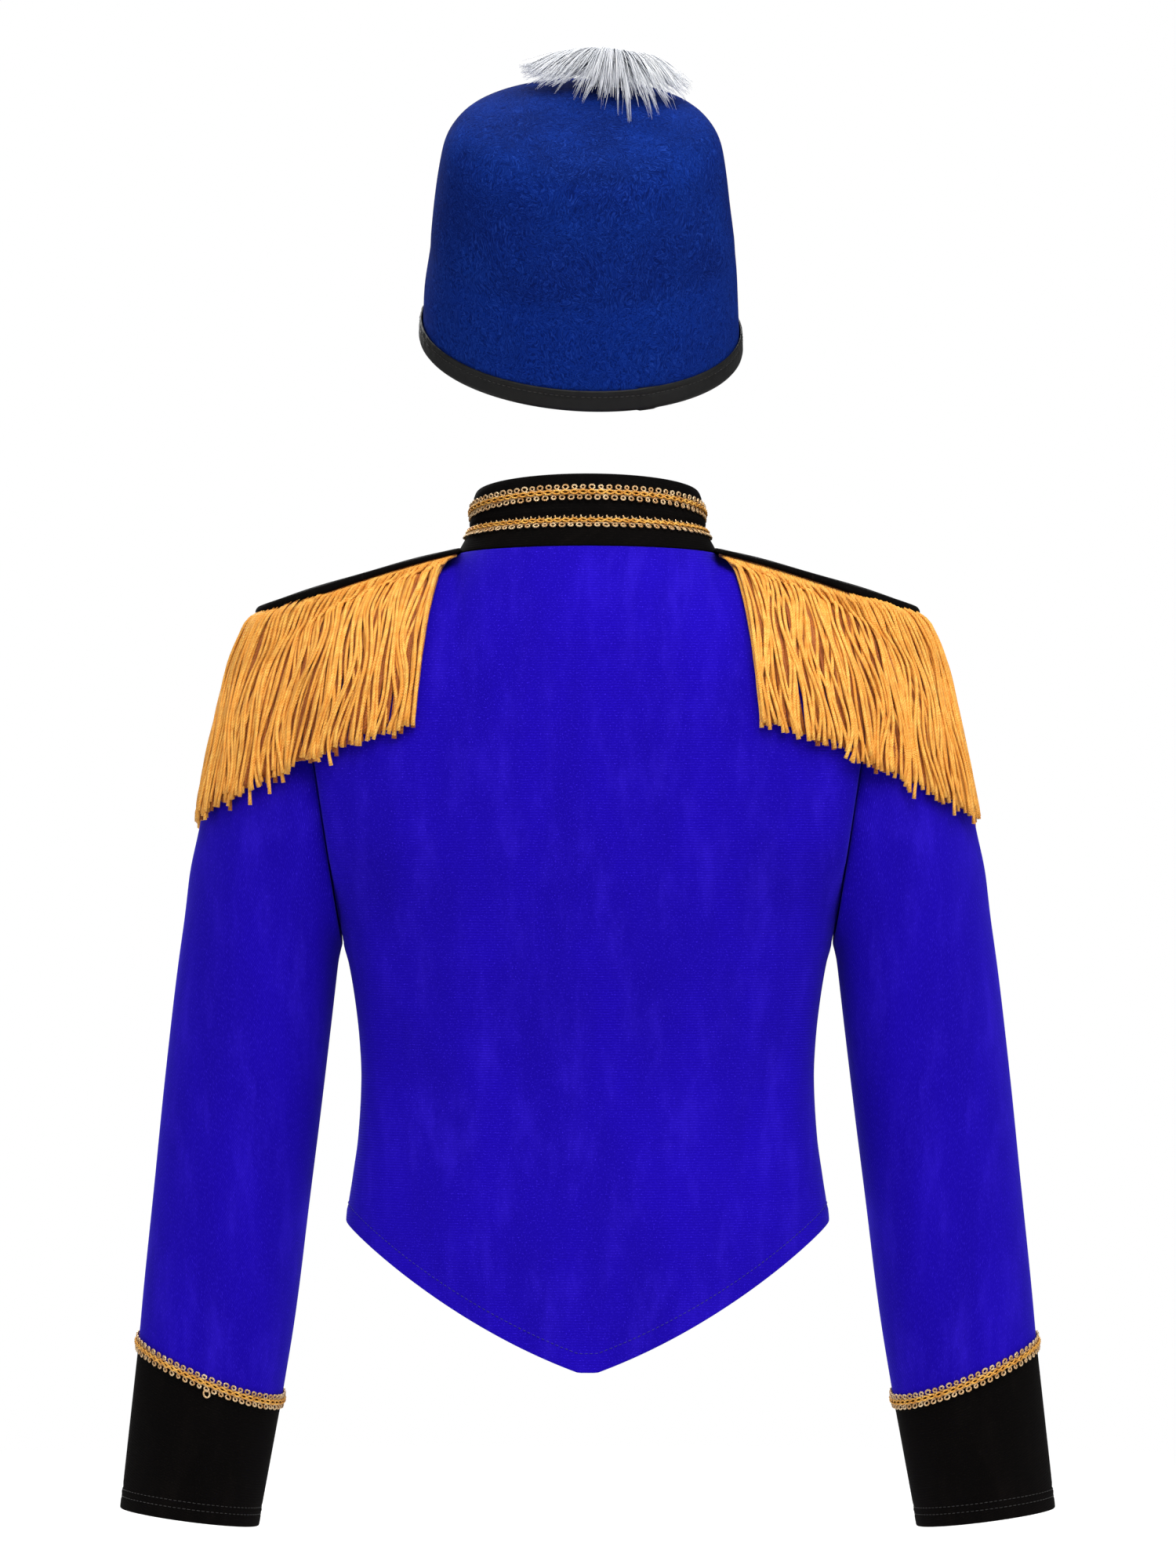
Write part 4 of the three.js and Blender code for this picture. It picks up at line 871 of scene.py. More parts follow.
# Angles round the collar from one front edge to the other, close together at both
def neckAngles():
    span = np.pi - neck["opening"] / neck["radius"]
    fine = fineEdge[1:6] / neck["radius"]
    inner = np.linspace(-span + 0.075, span - 0.075, neck["columns"])
    return np.concatenate([[-span], -span + fine, inner, span - fine[::-1], [span]])


def neckPiece(name, at, trimLow, trimHigh, openTop, stands):
    angle = neckAngles()
    base = neckGrid(at, angle)
    middle = base.mean((0, 1)) * np.array([0, 0, 1])
    normals = gridNormals(base, middle)
    up = unit(np.gradient(base, axis=0))
    fromLow = runLength(base, 0)
    fromHigh = fromLow[-1:] - fromLow
    fromLeft = runLength(base, 1)
    edge = np.minimum(fromLeft, fromLeft[:, -1:] - fromLeft)
    base = base + up * (trimLow * ease(fromLow, 2.4, 0) - trimHigh * ease(fromHigh, 2.4, 0))[..., None]
    into = np.maximum(rolledIn(fromLow, 1.6, 0.7), rolledIn(fromHigh, 1.5, 0.7))
    into = np.maximum(into, rolledIn(edge, *bodice["foldRoll"]))
    wave = 0.22 * np.sin(angle * 9 + 0.7)[None] * np.sin(angle * 4.3)[None]
    wave = wave * ease(fromLow, 1, 5) * ease(fromHigh, 1, 5)
    if openTop:
        edge = np.minimum(edge, fromHigh)
    # the stand's fold is thick, and swells out over the lower braid
    swell = np.exp(-((fromLow - collar["overhangAt"]) / collar["overhangWidth"]) ** 2)
    swell = openTop * collar["overhang"] * swell
    outer = base + normals * (wave + swell - into)[..., None]
    turned = rolledIn(edge, *bodice["foldRoll"])
    inner = base + normals * (wave - bodice["wall"] + turned)[..., None]
    uv = np.stack([fromLeft, fromLow], -1)
    return makeWall(name, outer, inner, False, uv, blackVelvet, stands)


bandRows = np.array(collar["bandRows"]) * 2
neckPiece("neck_bandCloth", bandRows, collar["bandTrim"], 0.15, False, ["neck_band"])
standFine = np.array([0, 0.04, 0.1, 0.18])
standRows = np.concatenate([2 + standFine, np.linspace(2.28, 4.72, collar["standRows"]), 5 - standFine[::-1]])
neckPiece("collar_standCloth", standRows, -collar["foldDrop"], 0, True, ["collar_stand"])

print("gimp braid")
gimp = {
    "width": 9.0,
    "loopRadius": (2.35, 1.38),  # along and across the braid
    "loopMiddle": 2.45,
    "yarn": 0.56,
    "plaitHalf": 0.95,
    "plaitYarns": 2,
    "plaitTurns": 0.5,  # turns to a loop
    "strayLoop": (-202.5, 5.3, 1.7),  # on the left cuff: its x, how far it hangs below the middle, and its radius
    "height": 1.15,
    "stepsALoop": 12,
    "collarPitch": 4.6, "cuffPitch": 4.1,
    "cuffPlaces": 240,
}


# A place inside an oval in plan is moved straight out to it, so that no yarn shows through the stand's inside
def keepOutside(place, oval):
    share = np.minimum(np.hypot(place[..., 0] / oval[0], place[..., 1] / oval[1]), 1)
    return place / np.stack([share, share, np.ones_like(share)], -1)


# A place on a band: its centre line at a length along it, moved across the band and out from the cloth
def onBand(band, along, across, out):
    centre, up, outward = (between(along, band["length"], band[key]) for key in ("centre", "up", "out"))
    place = centre + unit(up) * across[..., None] + unit(outward) * out[..., None]
    return keepOutside(place, band["oval"]) if "oval" in band else place


def makeBand(low, high, outward, closed):
    if closed:
        low, high, outward = closeUp(low), closeUp(high), closeUp(outward)
    centre = (low + high) / 2
    return {"centre": centre, "up": unit(high - low), "out": outward, "length": runLength(centre, 0)}


# One yarn that lies on a band; its ring of points starts from the band's outward side at facingAt
def yarnOnBand(band, along, across, out, closed, facingAt):
    path, facing = onBand(band, along, across, out), between(facingAt, band["length"], band["out"])
    return tubes(path[None], gimp["yarn"], 5, facing[None], closed=closed)


# Gimp braid: on each side a yarn runs in a row of loops (an ellipse's motion, backwards at the outer edge, added to a
# steady advance), and yarns are plaited over the middle (each sways by a sine, and rises by the sine of twice its turn)
def braidLots(band, pitch, closed):
    whole = band["length"][-1]
    count = int(round(whole / pitch))
    pitch = whole / count
    steps = count * gimp["stepsALoop"]
    t = np.arange(steps + (0 if closed else 1)) / gimp["stepsALoop"]
    loops, plait = [], []
    uneven = 1 + 0.1 * np.sin(t * 2.3) + 0.07 * np.sin(t * 5.9 + 1)
    for side, shift in ((1, 0.0), (-1, 0.42)):
        turn = 2 * np.pi * (t + shift)
        wide, deep = gimp["loopRadius"]
        along = pitch * t - wide * pitch / gimp["collarPitch"] * uneven * np.sin(turn)
        across = side * (gimp["loopMiddle"] + deep * uneven * np.cos(turn))
        out = gimp["height"] - 0.25 + 0.25 * np.cos(turn) + 0.2 * np.sin(turn)
        along = np.mod(along, whole) if closed else np.clip(along, 0, whole)
        loops.append(yarnOnBand(band, along, across, out, closed, along))
    for strand in range(gimp["plaitYarns"]):
        turn = 2 * np.pi * (t * round(count * gimp["plaitTurns"]) / count + strand / gimp["plaitYarns"])
        along = pitch * t
        across = gimp["plaitHalf"] * np.sin(turn)
        out = gimp["height"] + 0.42 + 0.3 * np.sin(2 * turn)
        plait.append(yarnOnBand(band, along, across, out, closed, along))
    return loops, plait


# The loops' quads come first, then the plait's, then the round ends. A stray loop is one more ring of the yarn.
def makeBraid(name, band, pitch, closed, stray=None):
    loops, plait = braidLots(band, pitch, closed)
    if stray:
        strayX, below, radius = stray
        behind = np.where(band["centre"][:, 1] < band["centre"][:, 1].mean(), 0, 1e3)
        nearest = band["length"][np.argmin(np.abs(band["centre"][:, 0] - strayX) + behind)]
        turn = wholeTurn(16)
        along, across = nearest + radius * np.sin(turn), -below + radius * 1.15 * np.cos(turn)
        loops.append(yarnOnBand(band, along, across, 0.9 + 0.3 * np.sin(turn), True, nearest + 0 * turn))
    braid = makeYarn(name + "Yarn", loops + plait, gimpLoop, [name])
    loopQuads = sum(len(lot[1][0]) for lot in loops)
    giveSecond(braid, gimpCentre, loopQuads, loopQuads + sum(len(lot[1][0]) for lot in plait))


def collarBand(low, high):
    angle = neckAngles()[3:-3]
    grid = neckGrid(np.array([low, (low + high) / 2, high]), angle)
    normals = gridNormals(grid, grid.mean((0, 1)) * np.array([0, 0, 1]))
    band = makeBand(grid[0], grid[2], normals[1], False)
    band["centre"] = grid[1]
    return band


makeBraid("braid_collar_upper", collarBand(*collar["upperBraid"]), gimp["collarPitch"], False)
lowerBand = {**collarBand(*collar["lowerBraid"]), "oval": collar["yarnOval"]}
makeBraid("braid_collar_lower", lowerBand, gimp["collarPitch"], False)


# The cuff's braid lies over its seam: half its width up the sleeve and half down the cuff
def cuffBand(side):
    turn = wholeTurn(gimp["cuffPlaces"])
    last = len(sleeve["rings"]) - 1
    seam, middle, _ = sleeveGrid(cuff["rings"], np.array([0.0]), turn)
    above = sleeveGrid(sleeve["rings"], np.array([last - 0.5]), turn)[0][0]
    below = sleeveGrid(cuff["rings"], np.array([0.5]), turn)[0][0]
    seam = seam[0]
    half = gimp["width"] / 2
    high = seam + unit(above - seam) * half
    low = seam + unit(below - seam) * half
    outward = unit(np.cross(np.roll(seam, -1, 0) - np.roll(seam, 1, 0), high - low))
    outward *= np.sign(np.sum(outward * (seam - middle[0])))
    return makeBand(onSide(low, side), onSide(high, side), onSide(outward, side), True)


for word, side in sides:
    stray = gimp["strayLoop"] if side < 0 else None
    makeBraid("braid_cuff_" + word, cuffBand(side), gimp["cuffPitch"], True, stray)

print("epaulettes")
board = {
    "innerX": 67.6, "innerHalf": 36,  # the straight end beside the neck
    "roundX": 136, "roundHalf": 42,  # middle and radius of the round tip
    "thickness": (2.6, 5.4),  # at the neck and at the tip
    "edge": 2.2,  # radius of the wrapped edge
    "lift": -0.3,
    "topZ": 0.6, "fall": 0.225, "bend": 0.00062,  # height at the neck, drop by the distance out and by its square
    "camber": 1.6,  # how much lower the board's long edges are than its middle
}


def boardHalf(x):
    straight = lerp(board["innerHalf"], board["roundHalf"],
                    (x - board["innerX"]) / (board["roundX"] - board["innerX"]))
    out = x - board["roundX"]
    rounded = np.sqrt(np.clip(board["roundHalf"] ** 2 - out**2, 0, None))
    return np.where(x <= board["roundX"], straight, rounded)


def boardTop(x, y):
    out = x - bodice["shoulderStart"][0]
    camber = board["camber"] * (y / board["roundHalf"]) ** 2
    return board["topZ"] - board["fall"] * out - board["bend"] * out**2 - camber


def boardThickness(x):
    return lerp(*board["thickness"], ease(x, board["innerX"], board["roundX"] + board["roundHalf"]))


# Velvet wrapped over a stiff board: two skins that meet at the outline, set apart by a quarter circle over the edge
def makeBoard(name, side):
    straight = np.linspace(board["innerX"], board["roundX"], 36)
    straight = np.concatenate([board["innerX"] + np.array([0, 0.15, 0.5, 1.0]), straight[2:]])
    turned = board["roundX"] + board["roundHalf"] * np.sin(np.radians(np.linspace(0, 89.2, 44)[1:]))
    x = np.concatenate([straight, turned])[:, None]
    fine = np.array([0, 0.006, 0.018, 0.036, 0.06, 0.09])
    share = np.concatenate([-1 + fine, np.linspace(-0.86, 0.86, 38), 1 - fine[::-1]])[None]
    half = boardHalf(x)
    y = share * half
    fromSide = half - np.abs(y)
    fromTip = board["roundHalf"] - np.hypot(np.maximum(x - board["roundX"], 0), y)
    inward = np.where(x > board["roundX"], fromTip, fromSide)
    inward = np.minimum(inward, x - board["innerX"] + 0 * y)
    thick = boardThickness(x)
    apart = thick / 2 * (0.12 + 0.88 * quarterRound(np.maximum(inward, 0) / board["edge"]))
    soft = 0.25 * np.sin(x * 0.11 + 1) * np.sin(y * 0.09) * ease(inward, 2, 12)
    middle = boardTop(x, y) + board["lift"] - thick / 2
    top = np.stack([x + 0 * y, y, middle + apart + soft], -1)
    bottom = np.stack([x + 0 * y, y, middle - apart], -1)
    uv = np.stack([x + 0 * y, y], -1)
    top, bottom = onSide(top, side), onSide(bottom, side)
    makeWall(name + "Cloth", top, bottom, False, uv, blackVelvet, [name])


for word, side in sides:
    makeBoard("epaulette_" + word, side)

print("fringe")
fringe = {
    "innerX": 90.8, "roundX": 164, "tipX": 206, "innerZ": -92.5, "fall": 0.305, "bend": 0.0011,
    "rootX": 69.4, "inset": 2.4, "headingHeight": 1.2, "clear": 2.4, "leanIn": 2.4, "swing": 20,
    "half": 131,  # half the length of the board's edge
    # each layer, from the cloth outwards: number of strands, radius, how loosely they lie, and how far out
    "layers": [(150, 1.15, 0.3, 0.4), (112, 1.02, 0.85, 1.5), (102, 1.0, 1.0, 3.0)],
    "steps": 28, "sides": 5,
    # the curtain's grid: places along the edge, drops, how far past the end it reaches, and its averaging in mm
    "places": 261, "drops": 44, "reach": 1.14, "evened": 9, "rounded": 3,
}


# Half depth of the bodice beside a shoulder at a place seen from behind; 0 outside its outline
def bodiceDepth(x, z, face):
    underX, underZ = bodice["underarm"]
    rise = np.full(np.shape(x), 0.8)
    for _ in range(24):
        across = x / lerp(underX, bodice["shoulderEnd"], rise)
        topZ, _ = panelTop(np.minimum(across, 1) * bodice["shoulderEnd"], face)
        rise = (z - underZ) / (topZ - underZ)
    outside = (rise > 1) | (across > 1)
    up = 2 - np.arccos(np.clip(2 * rise - 1, -1, 1)) / np.pi
    across = np.clip(across, 0, 1)
    power = bodice["roundness"]
    bulge = (1 - across**power) ** (1 / power)
    return np.where(outside, 0, np.abs(bodiceGrid(across, bulge, up, face)[..., 1]))


# The same for the sleeve: a search for the ring whose plane holds the place
def sleeveDepth(x, z, face):
    rings = np.array(sleeve["rings"], float)

    def ringAt(at):
        i = np.minimum(at.astype(int), len(rings) - 2)
        row = lerp(rings[i], rings[i + 1], (at - i)[..., None])
        middle = np.stack([(row[..., 0] + row[..., 2]) / 2, (row[..., 1] + row[..., 3]) / 2], -1)
        run = np.stack([row[..., 2] - row[..., 0], row[..., 3] - row[..., 1]], -1)
        width = np.linalg.norm(run, axis=-1) / 2
        return middle, run / (2 * width[..., None]), width, row[..., 4], row[..., 5]

    place = np.stack([x, z], -1)
    low, high = np.zeros(np.shape(x)), np.full(np.shape(x), 8.0)

    # cross product of the ring's line with the way to the place: above zero once the place is past the line
    def beyond(middle, run):
        away = place - middle
        return away[..., 0] * run[..., 1] - away[..., 1] * run[..., 0]

    outside = beyond(*ringAt(low)[:2]) < 0
    for _ in range(24):
        at = (low + high) / 2
        past = beyond(*ringAt(at)[:2]) > 0
        low, high = np.where(past, at, low), np.where(past, high, at)
    middle, run, width, depth, forward = ringAt(low)
    cosine = np.sum((place - middle) * run, -1) / width
    found = depth * np.sqrt(np.clip(1 - cosine**2, 0, 1)) + face * forward
    return np.where(outside | (np.abs(cosine) >= 1), 0, found)


# The curtain's middle surface. Place runs round the board's edge from the neck behind (-1) over the tip (0) to the neck
# in front (1); drop runs from the heading (0) to the strand's end (1). It lies on the garment, never swings back in as
# it drops, and bridges the armhole's hollow: its depth is averaged along the edge by a bell curve.
def makeCurtain():
    place = np.linspace(-1, 1, fringe["places"])[None]
    drop = fringe["reach"] * np.linspace(0, 1, fringe["drops"])[:, None] ** 1.5
    place, drop = np.broadcast_arrays(place, drop)
    share = 1 - np.abs(place)
    straight = share < 0.5
    straightX = lerp(fringe["rootX"], board["roundX"], share * 2)
    turn = np.clip(share * 2 - 1, 0, 1) * np.pi / 2
    radius = board["roundHalf"] - fringe["inset"]
    rootX = np.where(straight, straightX, board["roundX"] + radius * np.sin(turn))
    straightY = boardHalf(np.minimum(straightX, board["roundX"])) - fringe["inset"]
    rootY = np.where(straight, straightY, radius * np.cos(turn))
    endX = np.where(straight, lerp(fringe["innerX"], fringe["roundX"], share * 2),
                    lerp(fringe["roundX"], fringe["tipX"], np.sin(turn)))
    rootZ = boardTop(rootX, rootY) + board["lift"] + 0.4 - boardThickness(rootX) - fringe["headingHeight"]
    out = endX - fringe["innerX"]
    endZ = fringe["innerZ"] - fringe["fall"] * out - fringe["bend"] * out**2
    x = lerp(rootX, endX, np.minimum(drop, 1) ** (0.4 + 0.2 * share))
    z = lerp(rootZ, endZ, drop)
    seenX = x - fringe["leanIn"]
    behind = np.maximum(bodiceDepth(seenX, z, -1), sleeveDepth(seenX, z, -1))
    before = np.maximum(bodiceDepth(seenX, z, 1), sleeveDepth(seenX, z, 1))
    depth = np.where(place < 0, behind, before)
    held = np.maximum(rootY, np.where(depth > 0, depth + fringe["clear"], 0))
    held = np.maximum.accumulate(lerp(rootY, held, np.clip(drop * fringe["swing"], 0, 1)), axis=0)
    apart = fringe["half"] * np.abs(place[0][:, None] - place[0][None])
    bell = lambda width: np.exp(-(apart / width) ** 2 / 2)
    even = lambda values, width: values @ bell(width) / bell(width).sum(0)
    sign = np.where(place < 0, -1, 1)
    smooth = even(sign * held, fringe["evened"])
    y = even(sign * np.maximum(sign * smooth, held), fringe["rounded"])
    y = lerp(sign * rootY, y, ease(drop, 0, 0.1))
    grid = np.stack([x, y, z], -1)
    return grid, gridNormals(grid, np.array([board["roundX"] - 20, 0, -60]))


# A place and drop on a grid of the curtain, between its four nearest points
def onCurtain(grid, place, drop):
    rows, columns = grid.shape[:2]
    column = (np.clip(place, -1, 1) + 1) / 2 * (columns - 1)
    row = np.clip(drop / fringe["reach"], 0, 1) ** (1 / 1.5) * (rows - 1)
    i = np.minimum(row.astype(int), rows - 2)
    j = np.minimum(column.astype(int), columns - 2)
    down, along = (row - i)[..., None], (column - j)[..., None]
    return lerp(lerp(grid[i, j], grid[i, j + 1], along), lerp(grid[i + 1, j], grid[i + 1, j + 1], along), down)


# Chainette strands in three layers. Neighbours gather in bundles and sway together by sines of their place and drop;
# each then wanders a little by itself, ends unevenly and lies a little before or behind the next.
def fringeLots(side, curtain, normals):
    lots = []
    random = np.random.default_rng(23 + side)
    fall = np.linspace(0, 1, fringe["steps"])[None] ** 1.15
    for layer, (count, radius, loose, far) in enumerate(fringe["layers"]):
        even, normal = (partial(draw, size=(count, 1)) for draw in (random.uniform, random.normal))
        place = np.linspace(-0.993, 0.993, count)[:, None] + loose * even(-0.004, 0.004)
        ragged = 0.018 * normal(0, 1) + 0.012 * np.sin(place * 37 + layer) + 0.008 * layer
        ragged += even(0.03, 0.08) * (random.random((count, 1)) < 0.06 * loose)
        drop = fall * (1 + ragged)
        seed = random.uniform(0, 6.28, 3)
        bundle = 0.0105 * np.sin(place * 47 + drop * 4.2 + seed[0])
        bundle = bundle + 0.0052 * np.sin(place * 118 - drop * 6.1 + seed[1])
        sway = 0.017 * np.sin(drop * 6.4 + place * 8 + seed[2]) + 0.008 * np.sin(drop * 11 - place * 21 + layer)
        wander = normal(0, 0.005) * drop + normal(0, 0.005) * np.sin(drop * np.pi)
        wander += 0.0022 * np.sin(drop * even(6, 14) + even(0, 6))
        away = ease(1 - np.abs(place), 0, 0.05)
        moved = (bundle + wander) * ease(drop, -0.04, 0.08) + sway * ease(drop, 0.04, 0.3)
        at = place + loose * moved * away
        path, out = onCurtain(curtain, at, drop), unit(onCurtain(normals, at, drop))
        lifted = far * ease(drop, -0.05, 0.05) + loose * even(-0.8, 0.9) * ease(drop, -0.02, 0.03)
        lifted = lifted + loose * 0.55 * np.sin(drop * 7 + even(0, 6)) * ease(drop, 0.05, 0.3)
        path = path + out * np.maximum(lifted, 0)[..., None]
        path[:, 0, 2] += fringe["headingHeight"]
        thick = radius * (1 + even(-0.12, 0.12)) * (1 + 0.18 * ease(fall, 0.96, 1))
        path, out = onSide(path, side), onSide(out, side)
        lots.append(tubes(path, thick, fringe["sides"], out, 0.85, 0.25))
    return lots


curtain, curtainNormals = makeCurtain()
for word, side in sides:
    lots = fringeLots(side, curtain, curtainNormals)
    strands = makeYarn("fringe_" + word + "Strands", lots, chainette, ["fringe_" + word])
    # the first layer, under the others, takes the darker copy: painted shade in the gaps between the cords
    giveSecond(strands, paintedShadeChainette, 0, len(lots[0][1][0]))

print("hat")
hat = {
    "place": (-3.6, 31, 112.8),
    "tilt": 27.5,
    "roll": 0.6,
    "profile": [(86.0, 0), (84.6, 30), (82.0, 60), (78.7, 88), (75.8, 106), (73.6, 115), (70.4, 121), (66.0, 125.5),
                (57.0, 129), (40.0, 131.6), (20.0, 133.2), (0.4, 133.6)],
    "wall": 1.8,
    "columns": 168,
    "rimRise": 0.045, "rimFade": 70,  # the rim's rise to one side by x, and the height where it has faded
    "bindingHeight": 10.5, "bindingStitch": 7.4, "stitch": (3.0, 2.2, 0.26),
    "feltRadian": 84, "bindingRadian": 86,  # mm round the hat, for the maps
}


def rimHeight(x, z):
    return z - hat["rimRise"] * x * np.clip(1 - np.maximum(z, 0) / hat["rimFade"], 0, 1)


# From the hat's own frame to the object's: tipped about X, then rolled about Y
def hatToFrame(points):
    tilt, roll = np.radians(hat["tilt"]), np.radians(hat["roll"])
    tip = np.array([[1, 0, 0], [0, np.cos(tilt), -np.sin(tilt)], [0, np.sin(tilt), np.cos(tilt)]])
    turn = np.array([[np.cos(roll), 0, np.sin(roll)], [0, 1, 0], [-np.sin(roll), 0, np.cos(roll)]])
    return points @ (turn @ tip).T + np.array(hat["place"])


# Normals of a profile (radius, height) from its steps: each step turned by a quarter
def profileNormals(steps):
    return unit(np.stack([steps[:, 1], -steps[:, 0]], -1))


# A profile carried round the hat's axis; relief moves each point along the profile's normal
def turnedGrid(profile, normals, relief, angle):
    radius, height = (profile[:, k:k + 1] + normals[:, k:k + 1] * relief for k in (0, 1))
    x, y = radius * np.sin(angle), -radius * np.cos(angle)
    return np.stack([x, y, rimHeight(x, height)], -1)


# The hat's two pieces from their grids, mapped by angle and by distance along the profile, in mm
def makeHatPiece(name, grid, faces, angle, radian, along, material):
    uv = np.stack(np.broadcast_arrays(angle[None] * radian, along), -1).reshape(-1, 2) * metres
    points = hatToFrame(grid.reshape(-1, 3))
    makePiece(name + "Cloth", points, faces, material, "clothMap", uv, [name])


# Wavy unevenness that closes on itself: sines of whole turns, faded and shifted with height
def hatWaves(angle, height, turns, amounts):
    total = 0
    for k, amount in zip(turns, amounts):
        total = total + amount * np.sin(k * angle + 0.9 * k + height * 0.021 * k)
    return total


def makeFelt():
    table = np.array(hat["profile"], float)
    knots = runLength(table, 0)
    at = np.concatenate([[0, 0.5, 1.2], np.linspace(2.5, knots[-1], 110)])
    outside = alongTable(knots, table, at)
    outside[:, 0] = np.maximum(outside[:, 0], 0.4)
    inside = (outside - profileNormals(np.gradient(outside, axis=0)) * hat["wall"])[::2]
    inside[:, 0] = np.maximum(inside[:, 0], 0.4)
    profile = np.concatenate([outside[::-1], inside])
    height, angle = profile[:, 1:2], wholeTurn(hat["columns"])
    isOut = (np.arange(len(profile)) < len(outside))[:, None]
    soft = hatWaves(angle[None], height, (2, 3, 5), (0.5, 0.35, 0.2)) * ease(height, 12, 40) * ease(height, 134, 100)
    ledge = 0.45 * ease(height, 64, 52)
    dish = -0.7 * ease(profile[:, 0:1], 62, 30) * ease(height, 120, 131)
    relief = np.where(isOut, soft + ledge * ease(height, 0, 3) + dish, -(soft + dish))
    grid = turnedGrid(profile, profileNormals(np.gradient(profile, axis=0)), relief, angle)
    index = gridIndex(grid)
    faces = [gridQuads(index, True), index[0][None, ::-1], index[-1][None]]
    makeHatPiece("hat_felt", grid, faces, angle, hat["feltRadian"], height, blueFelt)


makeFelt()


# Bias strip folded round the rim: up the outside, round the edge, up the inside, with rounded folds, fine puckers
# beside its stitch line and one lapped join
def makeBinding():
    rim, top = hat["profile"][0][0], hat["bindingHeight"]
    slope = (hat["profile"][0][0] - hat["profile"][1][0]) / hat["profile"][1][1]
    felt, sewn = hat["wall"], hat["bindingStitch"]
    outer = [(rim + 0.35 - slope * top, top), (rim + 0.75 - slope * top, top + 0.15),
             (rim + 1.25 - slope * top, top - 0.2), (rim + 1.45 - slope * top, top - 0.9)]
    outer += [(rim + 1.5 - slope * z, z) for z in np.linspace(top - 1.8, 0.8, 12)]
    under = [(rim + 1.2, -0.5), (rim + 0.6, -1.3), (rim - 0.4, -1.65), (rim - felt + 0.2, -1.65),
             (rim - felt - 0.9, -1.3), (rim - felt - 1.3, -0.5)]
    inner = [(rim - felt - 1.4 - slope * z, z) for z in np.linspace(0.8, top - 1.2, 6)]
    back = [(rim - felt - 1.2 - slope * top, top - 0.2), (rim - felt - 0.6 - slope * top, top + 0.1),
            (rim - felt - 0.35 - slope * top, top - 0.3), (rim - felt - 0.3 - slope * 4, 4.0),
            (rim - felt - 0.3, -0.3), (rim + 0.3, -0.3), (rim + 0.3 - slope * 4, 4.0)]
    profile = np.array(outer + under + inner + back, float)
    shown = np.zeros(len(profile))
    shown[1:len(outer) + len(under)] = 1
    angle = wholeTurn(hat["columns"] * 2)
    normals = profileNormals(np.roll(profile, 1, 0) - np.roll(profile, -1, 0))
    z = profile[:, 1:2]
    pucker = 0.16 * np.sin(angle * 61 + z * 0.55) * np.sin(angle * 7 + 1) + 0.1 * np.sin(angle * 97 - z * 0.8)
    stitched = -0.35 * np.exp(-((z - sewn) / 0.8) ** 2)
    join = 0.55 * ease(angle, 0.36, 0.368) * ease(angle, 0.50, 0.46)
    relief = shown[:, None] * (pucker * ease(np.abs(z - sewn), 6, 1) + stitched + join)
    grid = turnedGrid(profile, normals, relief, angle)
    faces = [gridQuads(closeUp(gridIndex(grid)), True)]
    length = runLength(profile, 0)[:, None]
    makeHatPiece("hat_binding", grid, faces, angle, hat["bindingRadian"], length, blackSatin)
    line = grid[np.argmin(np.abs(profile[:len(outer), 1] - sewn))]
    outward = unit(line * np.array([1, 1, 0]))
    points, faces, uv = stitchTubes(closeUp(line), closeUp(outward), *hat["stitch"])
    makeYarn("binding_stitches", [(hatToFrame(points), faces, uv)], blackThread)


makeBinding()

print("feather")
plume = {
    "quillFrom": (1, 5.6, 248.6), "quillTo": (19, 5.6, 248.0),
    "ridge": (15, 7, 277.5), "ridgeSpread": 9, "ridgeRise": 9,
    # x, y and z of a barb's tip, from the left end of the fan to its right end
    "tips": [(-37.5, -5, 259), (-35, -12, 252), (-27, -20, 245), (-13, -27, 239.5), (-1, -36, 232.5), (9, -39, 228.5),
             (21, -42, 224.5), (33, -41, 225), (43, -36, 228.5), (52, -24, 238), (57, -12, 248)],
    "fan": 640, "behind": 170, "locks": 290, "clumps": 48, "steps": 12,
}


# A barb is a cubic curve: up from the quill, over the ridge and out to its tip. Place runs over the fan from -1 to 1;
# reach is how far along the curve the barb goes, and lift pulls its top down.
def barbPath(place, reach, lift, forward):
    share = (place + 1) / 2
    root = lerp(np.array(plume["quillFrom"], float), np.array(plume["quillTo"], float), share[..., None])
    rise = plume["ridgeRise"] * (1 - place**2)
    ridge = np.array(plume["ridge"]) + np.stack([place * plume["ridgeSpread"], 0 * place, rise], -1)
    ridge = ridge - (1 - lift)[..., None] * np.array([0, 0, 26])
    tip = alongTable(np.linspace(-1, 1, len(plume["tips"])), plume["tips"], place)
    over = np.stack([lerp(tip[..., 0], ridge[..., 0], 0.38), lerp(tip[..., 1], ridge[..., 1], 0.5),
                     lerp(tip[..., 2], ridge[..., 2] - 8, 0.72)], -1)
    turned = np.array([1, forward, 1])
    middle = np.array([0, plume["quillFrom"][1], 0])
    t = reach[..., None]
    path = (1 - t) ** 3 * root + 3 * (1 - t) ** 2 * t * ridge + 3 * (1 - t) * t**2 * over + t**3 * tip
    return (path - middle) * turned + middle


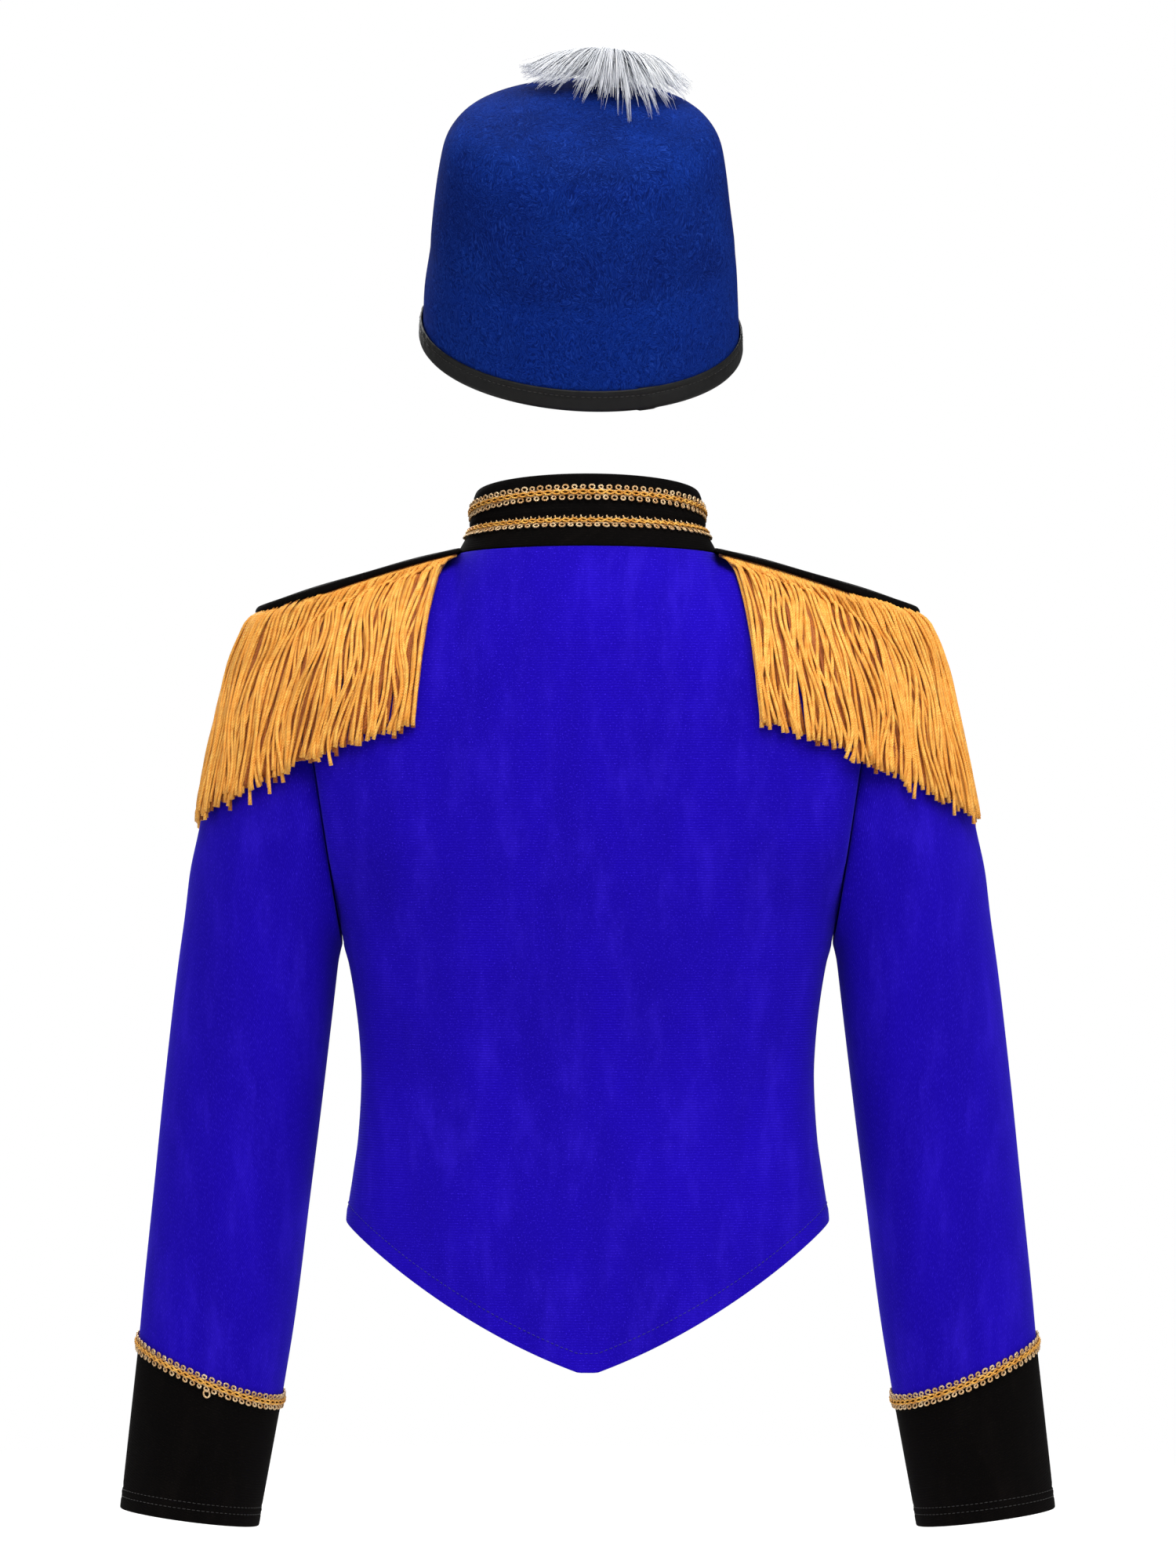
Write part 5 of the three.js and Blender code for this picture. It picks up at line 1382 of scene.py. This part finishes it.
# Flat barbs: a dense fan on both sides of the ridge, and locks whose barbs draw together towards their tips and hang
# over the crown
def makeFeather():
    random = np.random.default_rng(5)
    drop = np.linspace(0, 1, plume["steps"])[None]
    lots = []

    # across the plane that a barb's two ends and its middle lie in, so that its tube never twists
    def sideOf(barbs):
        chord, bow = barbs[:, -1] - barbs[:, 0], barbs[:, barbs.shape[1] // 2] - barbs[:, 0]
        return unit(np.cross(chord, bow))[:, None]

    for count, forward in ((plume["fan"], 1.0), (plume["behind"], -0.55)):
        even = partial(random.uniform, size=(count, 1))
        place = np.sort(even(-1, 1), 0)
        reach = lerp(even(0.5, 0.84), even(0.86, 1.0), ease(np.abs(place - 0.1), 0.35, 0.85))
        lift = 1 - 0.8 * even(0, 1) ** 1.6
        barbs = barbPath(place + 0 * drop, drop * reach, lift + 0 * drop, forward)
        barbs = barbs + random.normal(0, 0.35, (count, 1, 3)) * drop[..., None] ** 1.5
        width = lerp(0.48, 0.1, drop**2) * even(0.75, 1.2)
        lots.append(tubes(barbs, width, 4, sideOf(barbs)))
    count = plume["locks"]
    clump = np.arange(count)[:, None] % plume["clumps"]
    clumpPlace = (np.linspace(-0.93, 0.97, plume["clumps"]) + random.normal(0, 0.012, plume["clumps"]))[clump]
    clumpReach = (1 - 0.2 * random.random(plume["clumps"]) ** 1.5)[clump]
    spread = random.normal(0, 0.05, (count, 1))
    place = np.clip(clumpPlace + spread * (1 - 0.85 * drop**1.5), -1, 1)
    reach = drop * clumpReach * random.uniform(0.9, 1.03, (count, 1))
    lift = random.uniform(0.4, 0.8, plume["clumps"])[clump] + 0 * drop
    locks = barbPath(place, reach, lift, 1.0)
    sweep = random.normal(0, 2.2, plume["clumps"])[clump] * drop**2.5
    stray = random.normal(0, 0.35, (count, 1, 3)) * drop[..., None]
    locks = locks + sweep[..., None] * np.array([1, 0, 0]) + stray
    width = lerp(0.4, 0.04, drop**1.4) * random.uniform(0.7, 1.1, (count, 1))
    lots.append(tubes(locks, width, 4, sideOf(locks)))
    quill = lerp(*(np.array(plume[end], float) for end in ("quillFrom", "quillTo")), np.linspace(0, 1, 9)[:, None])
    lots.append(tubes(quill[None], 0.9, 6, np.array([0, 0, 1.0])))
    makeYarn("hat_featherBarbs", lots, whiteDown, ["hat_feather"])


makeFeather()

print("floor")


# Flat floor: a grid of squares as wide as its fade
def makeFloor():
    side = np.linspace(-1, 1, 9) * studio["floorFade"][1]
    grid = np.stack(np.broadcast_arrays(side[None], side[:, None], float(studio["floorZ"])), -1)
    mesh = bpy.data.meshes.new("studioFloor")
    mesh.from_pydata((grid.reshape(-1, 3) * metres).tolist(), [], gridQuads(gridIndex(grid)).tolist())
    mesh.materials.append(floorMaterial("paleStudioPaint"))
    floor = newObject("studioFloor", mesh)


makeFloor()
